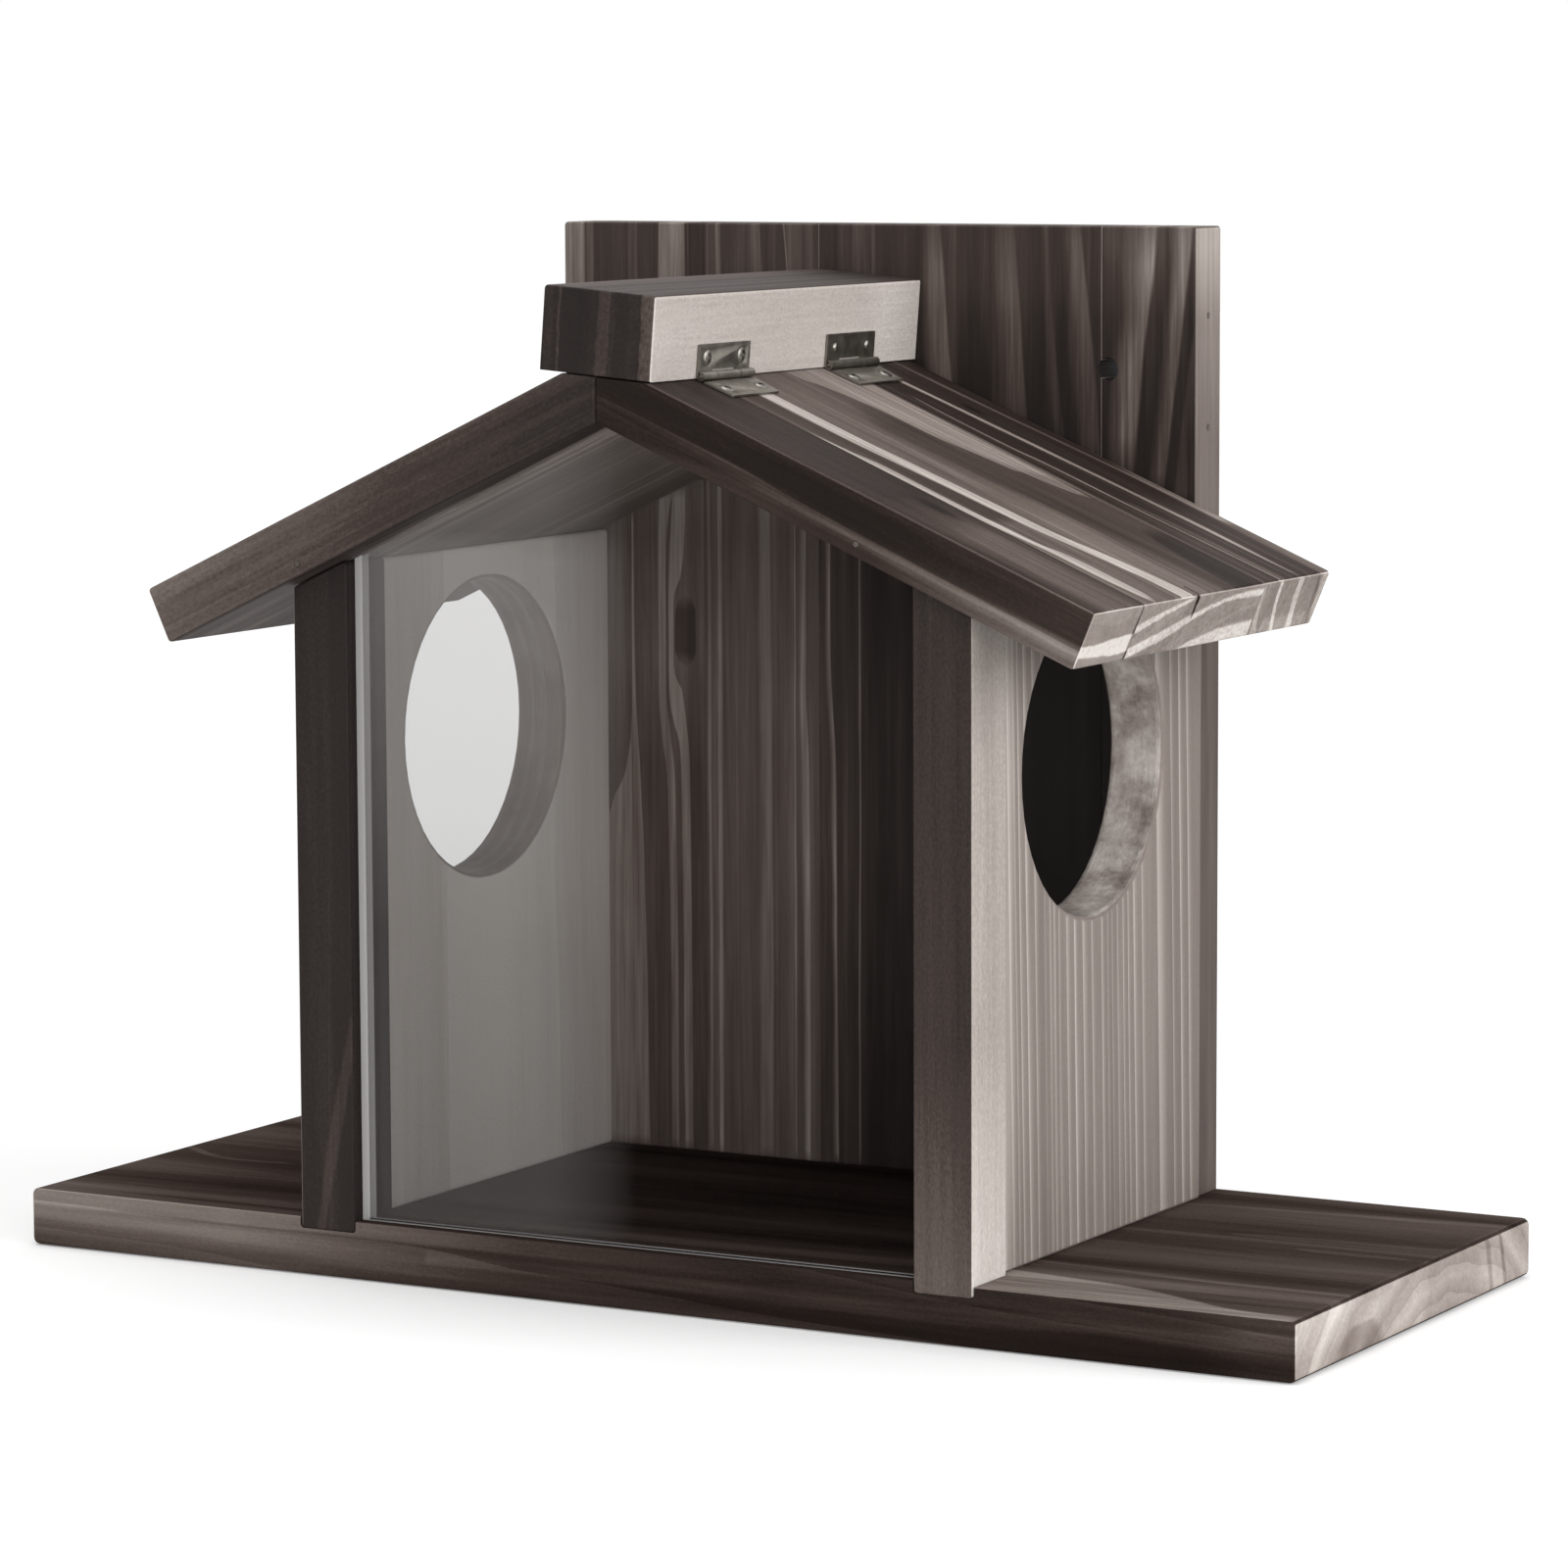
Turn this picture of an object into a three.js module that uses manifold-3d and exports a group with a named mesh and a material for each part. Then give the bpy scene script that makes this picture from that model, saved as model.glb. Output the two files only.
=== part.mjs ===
// A wall-hung squirrel feeder box: a pitched-roof house of stained boards on a wide base shelf, with a
// clear front, a round entry hole in each side, and the right half of its roof hinged as a lid.
// Millimetres. X runs to the right, Y from the front to the back and Z up. Drawn from the front edge
// and the middle of the base; the finished group is centred on the floor below the object.

import * as THREE from 'three';
import { mergeVertices } from 'three/addons/utils/BufferGeometryUtils.js';
import Module from 'manifold-3d';

const wasm = await Module();
wasm.setup();

// Driving sizes of the boards
const stock = 15; // thickness of every board
const baseWidth = 365;
const baseDepth = 145;
const bodyWidth = 193; // outside the side panels
const backInset = 2; // the back board's edges stand in this far from the panels' outer faces
const backRise = 11.7; // the back board stands this far above the ridge block
const postWidth = 16.2;
const postDepth = 18;
const postProud = 0.6; // the posts stand this far outside the side panels
const postSeat = 3; // how deep the posts are let into the base

// Roof
const leftPitch = THREE.MathUtils.degToRad(24.9);
const rightPitch = THREE.MathUtils.degToRad(23);
const apexHeight = 238.2; // where the two slopes would meet if the ridge weren't planed off
const ridgeOffset = -2.3; // the ridge joint lies this far from the middle
const leftSlope = 147.7; // apex to eave, down the slope
const rightSlope = 147.9;
const roofOverhang = 8.3; // past the front of the base
const ridgePlaning = 5.3; // how much of the apex is planed off for the ridge block

// Ridge block
const blockWidth = 31.7;
const blockHeight = 21;
const blockTilt = THREE.MathUtils.degToRad(4.6); // it leans down to the lid's side
const blockShift = -0.1; // from the ridge joint to the middle of its underside

// Entry holes, as large as the wood left round them in each side panel allows
const entryWood = { front: 10.5, rear: 23.5, top: 2.4 }; // the last at the left panel's outer face
const entryEase = 1.6; // rounding of the hole's rims

// Clear front window
const windowThickness = 3;
const windowSetback = 3.5; // behind the front of the posts

// Wall-mounting holes in the back board
const hangerRadius = 3;
const hangerPastJoint = 1.7; // the right hole lies this far outside the last joint of the back board
const hangerDrop = 36.8; // below the top of the back board

// Glued-up boards are sawn from staves. The joints lie at these shares of the board's breadth.
const backJointShares = [0.229, 0.416, 0.8585];
const roofJointShares = [0.199, 0.714];

// A short drying crack in the end of the lid's middle stave, at the eave
const crackReach = 57.5; // from the lid's front edge
const crackWidth = 0.9;
const crackDepth = 5.4; // at the end of the board
const crackRun = 5; // up the slope, on top of the board

// Butt hinges: one strip of sheet per leaf, rolled round the pin
const hingeLength = 25.4;
const hingeShares = [0.182, 0.635]; // from the front of the base, as shares of its depth
const fixedLeaf = { reach: 7.8, taper: 0, screwReach: 4.4 }; // pin to its free edge, and to its screws
const movingLeaf = { reach: 9.8, taper: 1.1, screwReach: 5.8 };
const leafThickness = 0.5;
const leafCorner = 0.3;
const pinRadius = 0.6;
const pinPlay = 0.1; // between pin and knuckle
const knuckleShare = 0.27; // length of each end knuckle, as a share of the hinge
const knuckleGap = 0.2; // between neighbouring knuckles
const lipAngle = THREE.MathUtils.degToRad(20); // where the rolled strip ends, short of the leaf
const leafScrewSpacing = 17;

// Fasteners: radius of head and shank, lengths along the axis
const hingeScrew = { head: 1.95, shank: 0.95, cone: leafThickness, dome: 0.4, length: 9, play: 0.1 };
const smallScrew = { ...hingeScrew, head: 1.2, shank: 0.8, dome: 0.55, plainHead: true };
const boardScrew = { head: 3.3, shank: 1.5, cone: 2.2, dome: 0.2, length: 30, play: 0.3 };
const nail = { head: 0.75, shank: 0.5, cone: 0.5, dome: 0.05, play: 0.15, plainHead: true };
const domeShares = [[0.87, 0.5], [0.5, 0.87]]; // points on a head's dome, of its radius and height
const nailBite = 6; // how far a nail that pins two staves goes into the second
const roofNailBite = 10; // how far a nail through the roof goes into the panel under it
const screwSink = 0.6; // how far a board screw's head lies below the surface
const pointLength = 3; // of a screw or nail's tip
const recessShares = { width: 0.3, length: 1.2, depth: 0.3 }; // cross recess, of the head's radius
const screwInset = 20; // from the ends of a panel to its base screws
const rearScrewInset = 25; // from the ends of a panel to its rear screws
const backScrewSpacing = 120; // between the base screws that hold the back board
const nailInset = 16; // from the ends of the left panel's top to its roof nails
const frontNailEdge = 3; // from a roof board's underside to the nail in its front edge
const frontNailReach = [102.5, 83.7]; // from the ridge joint, down the left and the right slope
const edgeNailDrops = [22.8, 51.6]; // below the top of the back board, in its right edge

// Clearances and roundings
const seat = 0.3; // between boards that meet on a slope, and round housed pieces
const leafSeat = 0.2; // between a hinge leaf and the wood under it
const ridgeSeam = 0.4; // joint between the two halves of the roof
const housingSlack = 0.5; // the posts' housings are this much wide on the outside
const lidBackGap = 3; // behind the lid
const swingGap = 0.4; // between the swinging lid and the window
const glueLine = 0.15; // between glued staves
const boardEase = 0.5; // eased edges at the ends of a board's section
const boardCorner = 1; // rounded corners of a board's section
const baseCorner = 1.8;
const overrun = 1; // how far a cutter stands past what it cuts
const pilotPlay = 0.25; // between a shank and its pilot hole

// Steps in round stretches
const cornerSteps = 4;
const easeSteps = 2;
const entrySteps = 48;
const entryEaseSteps = 3;
const knuckleSteps = 9;
const turnedSteps = 12;
const hangerSteps = 24;

// Places worked out from the sizes above
const halfBody = bodyWidth / 2;
const innerHalf = halfBody - stock;
const halfBack = halfBody - backInset;
const backWidth = 2 * halfBack;
const hangerReach = backJointShares.at(-1) * backWidth - halfBack + hangerPastJoint;
const postOuter = halfBody + postProud;
const postInner = postOuter - postWidth;
const backFront = baseDepth - stock;
const panelDepth = backFront - postDepth;
const entryRadius = (panelDepth - entryWood.front - entryWood.rear) / 2;
const leftRoofDepth = backFront + roofOverhang - seat;
const lidDepth = backFront + roofOverhang - lidBackGap;
const pitchOf = (side) => (side < 0 ? leftPitch : rightPitch);
const pitchAt = (x) => pitchOf(x - ridgeOffset);
const roofTopAt = (x) => apexHeight - Math.tan(pitchAt(x)) * Math.abs(x - ridgeOffset);
const roofUnderAt = (x) => roofTopAt(x) - stock / Math.cos(pitchAt(x));
const seatUnderRoof = (x) => roofUnderAt(x) - seat / Math.cos(pitchAt(x));
const ridgeFlatAt = (x) => apexHeight - ridgePlaning - Math.tan(blockTilt) * (x - ridgeOffset);

const slopeDown = (side) => new THREE.Vector2(side * Math.cos(pitchOf(side)), -Math.sin(pitchOf(side)));
const slopeOut = (side) => new THREE.Vector2(side * Math.sin(pitchOf(side)), Math.cos(pitchOf(side)));
const apex = new THREE.Vector2(ridgeOffset, apexHeight);

// The block's own directions: along its underside and up its sides
const blockAlong = new THREE.Vector2(Math.cos(blockTilt), -Math.sin(blockTilt));
const blockUp = new THREE.Vector2(Math.sin(blockTilt), Math.cos(blockTilt));
const blockFoot = new THREE.Vector2(ridgeOffset + blockShift, ridgeFlatAt(ridgeOffset + blockShift))
  .addScaledVector(blockUp, seat);
const blockPeak = blockFoot.clone().addScaledVector(blockUp, blockHeight)
  .addScaledVector(blockAlong, -blockWidth / 2);
const backHeight = blockPeak.y + backRise;

// The hinge pin runs where a knuckle touches both the block's right face and the lid's top
const knuckleInner = pinRadius + pinPlay;
const knuckleOuter = knuckleInner + leafThickness;
const pinStandoff = knuckleOuter + leafSeat;
const blockFace = blockFoot.clone().addScaledVector(blockAlong, blockWidth / 2 + pinStandoff);
const pinRise = (pinStandoff - blockFace.clone().sub(apex).dot(slopeOut(1))) / blockUp.dot(slopeOut(1));
const pivot = blockFace.clone().addScaledVector(blockUp, pinRise);

// The lid's lower ridge corner sweeps this far below the roof's underside as the lid opens
const lidCorner = new THREE.Vector2(ridgeOffset + ridgeSeam / 2, roofUnderAt(ridgeOffset + ridgeSeam / 2));
const lidSweep = lidCorner.distanceTo(pivot) - (stock + pinStandoff);

// Turns a closed geometry into a solid that can be joined and cut
function toSolid(geometry) {
  const bare = geometry.clone();
  bare.deleteAttribute('normal');
  bare.deleteAttribute('uv');
  const merged = mergeVertices(bare);
  const corners = merged.index.array;
  const triVerts = [];
  for (let i = 0; i < corners.length; i += 3) {
    const [a, b, c] = [corners[i], corners[i + 1], corners[i + 2]];
    if (a !== b && b !== c && c !== a) triVerts.push(a, b, c);
  }
  return new wasm.Manifold(new wasm.Mesh({
    numProp: 3,
    vertProperties: new Float32Array(merged.attributes.position.array),
    triVerts: new Uint32Array(triVerts),
  }));
}

function toGeometry(solid) {
  const { vertProperties, triVerts } = solid.getMesh();
  const geometry = new THREE.BufferGeometry();
  geometry.setAttribute('position', new THREE.BufferAttribute(vertProperties, 3));
  geometry.setIndex(new THREE.BufferAttribute(triVerts, 1));
  geometry.computeVertexNormals();
  return geometry;
}

const finishes = {
  wood: { color: 0x5a514b, roughness: 0.8, metalness: 0 },
  acrylic: { color: 0xe8eef0, roughness: 0.05, metalness: 0, transparent: true, opacity: 0.25 },
  steel: { color: 0x8f8c86, roughness: 0.35, metalness: 1 },
};

function piece(name, solid, finish) {
  const material = new THREE.MeshStandardMaterial({ ...finishes[finish], flatShading: true });
  const mesh = new THREE.Mesh(toGeometry(solid), material);
  mesh.name = name;
  return mesh;
}

// A closed outline through corners given as [x, y, radius]; a corner with no radius stays sharp
function outline(corners) {
  return new THREE.Shape(corners.flatMap(([x, y, radius = 0], i) => {
    const here = new THREE.Vector2(x, y);
    if (radius === 0) return [here];
    const back = new THREE.Vector2(...corners.at(i - 1)).sub(here).normalize();
    const ahead = new THREE.Vector2(...corners[(i + 1) % corners.length]).sub(here).normalize();
    const half = Math.acos(back.dot(ahead)) / 2;
    const centre = back.clone().add(ahead).setLength(radius / Math.sin(half)).add(here);
    const tangent = radius / Math.tan(half);
    const from = here.clone().addScaledVector(back, tangent).sub(centre).angle();
    const to = here.clone().addScaledVector(ahead, tangent).sub(centre).angle();
    const arc = new THREE.ArcCurve(centre.x, centre.y, radius, from, to, back.cross(ahead) > 0);
    return arc.getPoints(cornerSteps);
  }));
}

// Extrudes an outline along Z from zero to the depth, with its two end edges rounded by the ease
function extruded(shape, depth, ease) {
  return new THREE.ExtrudeGeometry(shape, {
    depth: depth - 2 * ease,
    curveSegments: knuckleSteps,
    bevelEnabled: ease > 0,
    bevelThickness: ease,
    bevelSize: ease,
    bevelOffset: -ease,
    bevelSegments: easeSteps,
  }).translate(0, 0, ease);
}

// Extrudes an outline drawn in X and Z from one Y to another
function alongY(shape, front, back, ease = 0) {
  return extruded(shape, back - front, ease).rotateX(Math.PI / 2).translate(0, back, 0);
}

// Turns a profile of [radius, height] points round the Z axis
function turned(profile, steps = turnedSteps) {
  const points = profile.map(([radius, height]) => new THREE.Vector2(radius, height));
  return new THREE.LatheGeometry(points, steps).rotateX(Math.PI / 2);
}

// A countersunk fastener, its head at the origin facing +Z and its point down
function fastenerSolid({ head, shank, cone, dome, length, plainHead }) {
  const body = toSolid(turned([
    [0, -length],
    [shank, pointLength - length],
    [shank, -cone],
    [head, 0],
    ...domeShares.map(([reach, rise]) => [reach * head, rise * dome]),
    [0, dome],
  ]));
  if (plainHead) return body;
  const arm = new THREE.BoxGeometry(recessShares.width, recessShares.length, 2 * recessShares.depth)
    .scale(head, head, head).translate(0, 0, dome);
  return body.subtract(toSolid(arm)).subtract(toSolid(arm.rotateZ(Math.PI / 2)));
}

// The hole that a fastener needs: its countersink with some play, then a pilot hole for its shank
function fastenerHole({ head, shank, cone, length, play }, mouth) {
  return turned([
    [0, -length - play],
    [shank + pilotPlay, -length - play],
    [shank + pilotPlay, -cone - play],
    [head + play, 0],
    [head + play, mouth],
    [0, mouth],
  ]);
}

// Adds a fastener to a group, with its head at a place and facing a direction
function addFastener(group, name, kind, place, facing, sink = 0) {
  const mesh = piece(name, fastenerSolid(kind), 'steel');
  mesh.quaternion.setFromUnitVectors(new THREE.Vector3(0, 0, 1), facing);
  mesh.position.copy(place).addScaledVector(facing, -sink);
  mesh.userData.hole = fastenerHole(kind, sink + overrun);
  group.add(mesh);
  return mesh;
}

// Cuts the holes of fasteners out of a solid that is drawn in a group's frame
function drilled(solid, group, fasteners) {
  group.updateWorldMatrix(true, true);
  const toGroup = group.matrixWorld.clone().invert();
  return fasteners.reduce((rest, fastener) => {
    fastener.updateWorldMatrix(true, false);
    const place = toGroup.clone().multiply(fastener.matrixWorld);
    return rest.subtract(toSolid(fastener.userData.hole.clone().applyMatrix4(place)));
  }, solid);
}

// Saws a board into staves across the X or the Y axis, with a glue line between neighbours
function sawn(board, axis, low, high, jointShares) {
  const cuts = jointShares.map((share) => low + share * (high - low));
  const edges = [low - overrun, ...cuts, high + overrun];
  return edges.slice(1).map((edge, i) => {
    const from = edges[i] + glueLine / 2;
    const to = edge - glueLine / 2;
    const size = new THREE.Vector3(2 * baseWidth, 2 * baseWidth, 2 * baseWidth);
    size[axis] = to - from;
    const middle = new THREE.Vector3();
    middle[axis] = (from + to) / 2;
    const block = new THREE.BoxGeometry(...size.toArray()).translate(...middle.toArray());
    return board.intersect(toSolid(block));
  });
}

const feeder = new THREE.Group();
const house = new THREE.Group();
const tiltedBlock = new THREE.Group();
const lid = new THREE.Group();
house.position.y = (roofOverhang - baseDepth) / 2;
tiltedBlock.position.set(blockFoot.x, 0, blockFoot.y);
tiltedBlock.rotation.y = blockTilt;
lid.position.set(pivot.x, 0, pivot.y);
feeder.add(house);
house.add(tiltedBlock, lid);

const up = new THREE.Vector3(0, 0, 1);
const down = new THREE.Vector3(0, 0, -1);
const forward = new THREE.Vector3(0, -1, 0);
const backward = new THREE.Vector3(0, 1, 0);
const rightward = new THREE.Vector3(1, 0, 0);
const sides = [['left', -1], ['right', 1]];

// Screws up through the base into the side panels, the posts and the back board
const panelMiddle = halfBody - stock / 2;
const postMiddle = postOuter - postWidth / 2;
const baseScrews = { left: [], right: [], back: [] };
const roofNails = [];
const postScrews = {};
for (const [side, sign] of sides) {
  for (const [end, y] of [['front', postDepth + screwInset], ['rear', backFront - screwInset]]) {
    const place = new THREE.Vector3(sign * panelMiddle, y, 0);
    const name = `base_screw_${side}_${end}`;
    baseScrews[side].push(addFastener(house, name, boardScrew, place, down, screwSink));
  }
  const underPost = new THREE.Vector3(sign * postMiddle, postDepth / 2, 0);
  postScrews[side] = addFastener(house, `base_screw_${side}_post`, boardScrew, underPost, down, screwSink);
  const underBack = new THREE.Vector3(sign * backScrewSpacing / 2, backFront + stock / 2, 0);
  const backName = `base_screw_back_${side}`;
  baseScrews.back.push(addFastener(house, backName, boardScrew, underBack, down, screwSink));
}

// Screws through the back board into the side panels, the left roof board and the ridge block
const panelTop = { left: seatUnderRoof(-halfBody), right: seatUnderRoof(halfBody) };
const rearScrews = { left: [], right: [] };
for (const [side, sign] of sides) {
  const heights = [['lower', stock + rearScrewInset], ['upper', panelTop[side] - rearScrewInset / 2]];
  for (const [end, z] of heights) {
    const place = new THREE.Vector3(sign * panelMiddle, baseDepth, z);
    const name = `rear_screw_${side}_${end}`;
    rearScrews[side].push(addFastener(house, name, boardScrew, place, backward, screwSink));
  }
}
const roofScrewFoot = apex.clone().addScaledVector(slopeDown(-1), leftSlope / 2)
  .addScaledVector(slopeOut(-1), -stock / 2);
const roofScrewPlace = new THREE.Vector3(roofScrewFoot.x, baseDepth, roofScrewFoot.y);
const roofScrew = addFastener(house, 'rear_screw_roof', boardScrew, roofScrewPlace, backward, screwSink);
const blockMiddle = blockFoot.clone().addScaledVector(blockUp, blockHeight / 2);
const blockScrewPlace = new THREE.Vector3(blockMiddle.x, baseDepth, blockMiddle.y);
const blockScrew = addFastener(house, 'rear_screw_block', boardScrew, blockScrewPlace, backward, screwSink);

// Nails: two through the left roof board into its panel, one that pins the front stave of each roof board
// to the next, and two that pin the back board's right stave to its neighbour
const roofNail = { ...nail, length: stock + seat + roofNailBite };
const leftOut = new THREE.Vector3(slopeOut(-1).x, 0, slopeOut(-1).y);
const nailHeadX = -panelMiddle - (stock + seat + roofNailBite / 2) * Math.sin(leftPitch);
[postDepth + nailInset, backFront - nailInset].forEach((y, i) => {
  const place = new THREE.Vector3(nailHeadX, y, roofTopAt(nailHeadX));
  roofNails.push(addFastener(house, `roof_nail_${i + 1}`, roofNail, place, leftOut));
});

function addFrontNail(group, name, side, reach, depth) {
  const kind = { ...nail, length: roofJointShares[0] * depth + nailBite };
  const at = apex.clone().addScaledVector(slopeDown(side), reach)
    .addScaledVector(slopeOut(side), frontNailEdge - stock);
  const place = new THREE.Vector3(at.x - group.position.x, -roofOverhang, at.y - group.position.z);
  return addFastener(group, name, kind, place, forward);
}
const leftFrontNail = addFrontNail(house, 'left_roof_front_nail', -1, frontNailReach[0], leftRoofDepth);
const lidFrontNail = addFrontNail(lid, 'lid_front_nail', 1, frontNailReach[1], lidDepth);

const edgeNail = { ...nail, length: (1 - backJointShares.at(-1)) * backWidth + nailBite };
const edgeNails = edgeNailDrops.map((drop, i) => {
  const place = new THREE.Vector3(halfBack, backFront + stock / 2, backHeight - drop);
  return addFastener(house, `back_board_nail_${i + 1}`, edgeNail, place, rightward);
});

// Base shelf, housed at its front edge for the two posts
const baseOutline = outline([
  [-baseWidth / 2, 0, baseCorner],
  [baseWidth / 2, 0, baseCorner],
  [baseWidth / 2, stock, baseCorner],
  [-baseWidth / 2, stock, baseCorner],
]);
let base = toSolid(alongY(baseOutline, 0, baseDepth, boardEase));
for (const [, sign] of sides) {
  const housing = outline([
    [sign * (postInner - seat), stock - postSeat, boardCorner],
    [sign * (postOuter + housingSlack), stock - postSeat, boardCorner],
    [sign * (postOuter + housingSlack), stock + overrun],
    [sign * (postInner - seat), stock + overrun],
  ]);
  base = base.subtract(toSolid(alongY(housing, -overrun, postDepth + seat)));
}
base = drilled(base, house, [...Object.values(baseScrews).flat(), ...Object.values(postScrews)]);
house.add(piece('base_board', base, 'wood'));

// A post or side panel: a square foot and a top cut to the roof's slope
function uprightOutline(inner, outer, foot) {
  return outline([
    [inner, foot, boardCorner],
    [outer, foot, boardCorner],
    [outer, seatUnderRoof(outer), boardCorner],
    [inner, seatUnderRoof(inner), boardCorner],
  ]);
}

// The cutter of an entry hole: a bar whose ends flare to round the hole's rims
function entryCutter() {
  const flare = Array.from({ length: entryEaseSteps + 1 }, (_, i) => {
    const angle = (i / entryEaseSteps) * Math.PI / 2;
    return [entryRadius + entryEase * (1 - Math.cos(angle)), stock / 2 - entryEase * (1 - Math.sin(angle))];
  });
  const rim = flare.at(-1)[0];
  const upper = [...flare, [rim, stock / 2 + overrun], [0, stock / 2 + overrun]];
  const lower = upper.map(([radius, height]) => [radius, -height]).reverse();
  return turned([...lower, ...upper], entrySteps).rotateY(Math.PI / 2);
}

const entryHeight = panelTop.left - entryWood.top - entryRadius;
const entryDepth = postDepth + entryWood.front + entryRadius;
for (const [side, sign] of sides) {
  const postShape = uprightOutline(sign * postInner, sign * postOuter, stock - postSeat);
  const post = toSolid(alongY(postShape, 0, postDepth, boardEase));
  house.add(piece(`${side}_post`, drilled(post, house, [postScrews[side]]), 'wood'));
  const entry = entryCutter().translate(sign * panelMiddle, entryDepth, entryHeight);
  const panelShape = uprightOutline(sign * innerHalf, sign * halfBody, stock);
  const panel = toSolid(alongY(panelShape, postDepth, backFront, boardEase)).subtract(toSolid(entry));
  const screws = [...baseScrews[side], ...rearScrews[side], ...(side === 'left' ? roofNails : [])];
  house.add(piece(`${side}_side_panel`, drilled(panel, house, screws), 'wood'));
}

// Back board, glued up from four staves, with the two wall-mounting holes
const backOutline = outline([
  [-halfBack, stock],
  [halfBack, stock],
  [halfBack, backHeight, boardCorner],
  [-halfBack, backHeight, boardCorner],
]);
let backBoard = toSolid(alongY(backOutline, backFront, baseDepth, boardEase));
for (const [, sign] of sides) {
  const hole = turned([
    [0, -overrun],
    [hangerRadius, -overrun],
    [hangerRadius, stock + overrun],
    [0, stock + overrun],
  ], hangerSteps).rotateX(-Math.PI / 2).translate(sign * hangerReach, backFront, backHeight - hangerDrop);
  backBoard = backBoard.subtract(toSolid(hole));
}
backBoard = drilled(backBoard, house, [
  ...baseScrews.back, ...rearScrews.left, ...rearScrews.right, roofScrew, blockScrew, ...edgeNails,
]);
sawn(backBoard, 'x', -halfBack, halfBack, backJointShares).forEach((stave, i) => {
  house.add(piece(`back_board_stave_${i + 1}`, stave, 'wood'));
});

// Half of the roof, drawn in X and Z: planed at the ridge, mitred upright at the joint, square at the eave
function roofOutline(sign, slope) {
  const joint = ridgeOffset + sign * ridgeSeam / 2;
  const fall = Math.tan(pitchOf(sign)) - sign * Math.tan(blockTilt);
  const planedTo = new THREE.Vector2(ridgeOffset + sign * ridgePlaning / fall, 0);
  planedTo.y = roofTopAt(planedTo.x);
  const eaveTop = apex.clone().addScaledVector(slopeDown(sign), slope);
  const eaveFoot = eaveTop.clone().addScaledVector(slopeOut(sign), -stock);
  return [
    [joint, roofUnderAt(joint)],
    [eaveFoot.x, eaveFoot.y, boardCorner],
    [eaveTop.x, eaveTop.y, boardCorner],
    [planedTo.x, planedTo.y],
    [joint, ridgeFlatAt(joint)],
  ];
}

// Fixed left half of the roof, glued up from three staves
const leftRoofShape = outline(roofOutline(-1, leftSlope));
const leftRoofBack = leftRoofDepth - roofOverhang;
const leftRoof = drilled(
  toSolid(alongY(leftRoofShape, -roofOverhang, leftRoofBack, boardEase)),
  house,
  [roofScrew, leftFrontNail, ...roofNails],
);
sawn(leftRoof, 'y', -roofOverhang, leftRoofBack, roofJointShares).forEach((stave, i) => {
  house.add(piece(`left_roof_stave_${i + 1}`, stave, 'wood'));
});

// Clear front, standing on the base between the posts, cut lower under the lid to clear its swing
const windowHalf = postInner - seat;
const windowLeftTop = seatUnderRoof(-windowHalf);
const windowRightTop = roofUnderAt(windowHalf) - (lidSweep + swingGap) / Math.cos(rightPitch);
const [leftTan, rightTan] = [Math.tan(leftPitch), Math.tan(rightPitch)];
const windowPeak = (windowRightTop - windowLeftTop + windowHalf * (rightTan - leftTan)) / (leftTan + rightTan);
const windowShape = outline([
  [-windowHalf, stock],
  [windowHalf, stock],
  [windowHalf, windowRightTop],
  [windowPeak, windowLeftTop + leftTan * (windowPeak + windowHalf)],
  [-windowHalf, windowLeftTop],
]);
const windowPane = alongY(windowShape, windowSetback, windowSetback + windowThickness);
house.add(piece('acrylic_window', toSolid(windowPane), 'acrylic'));

// One hinge leaf in its own frame: the pin along Y, the leaf towards +X, the wood on the given side in Z.
// The strip lies flat on the wood and rolls round the pin at each of its knuckles.
function leafSolid(leaf, woodSide, knuckles) {
  const relief = knuckleOuter + seat;
  const strip = new THREE.Shape();
  strip.moveTo(relief + leafCorner, woodSide * knuckleOuter);
  strip.lineTo(0, woodSide * knuckleOuter);
  strip.absarc(0, 0, knuckleOuter, woodSide * Math.PI / 2, woodSide * lipAngle, woodSide < 0);
  strip.absarc(0, 0, knuckleInner, woodSide * lipAngle, woodSide * Math.PI / 2, woodSide > 0);
  strip.lineTo(relief + leafCorner, woodSide * knuckleInner);
  const plate = outline([
    [relief, -hingeLength / 2],
    [leaf.reach, leaf.taper - hingeLength / 2, leafCorner],
    [leaf.reach, hingeLength / 2 - leaf.taper, leafCorner],
    [relief, hingeLength / 2],
  ]);
  const plateFoot = Math.min(woodSide * knuckleInner, woodSide * knuckleOuter);
  const sheet = toSolid(extruded(plate, leafThickness, 0).translate(0, 0, plateFoot));
  return knuckles.reduce((rest, [from, to]) => rest.add(toSolid(alongY(strip, from, to))), sheet);
}

const endKnuckle = hingeLength * knuckleShare;
const fixedKnuckles = [
  [-hingeLength / 2, endKnuckle - hingeLength / 2 - knuckleGap / 2],
  [hingeLength / 2 - endKnuckle + knuckleGap / 2, hingeLength / 2],
];
const middleKnuckle = hingeLength / 2 - endKnuckle - knuckleGap / 2;
const movingKnuckles = [[-middleKnuckle, middleKnuckle]];

// Adds one leaf and its two screws to a group that sits on the pin, and returns the screws
function addLeaf(group, name, leaf, screw, woodSide, knuckles) {
  const facing = woodSide < 0 ? up : down;
  const screws = [-1, 1].map((end, i) => {
    const place = new THREE.Vector3(leaf.screwReach, end * leafScrewSpacing / 2, woodSide * knuckleInner);
    return addFastener(group, `${name}_screw_${i + 1}`, screw, place, facing);
  });
  group.add(piece(name, drilled(leafSolid(leaf, woodSide, knuckles), group, screws), 'steel'));
  return screws;
}

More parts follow.
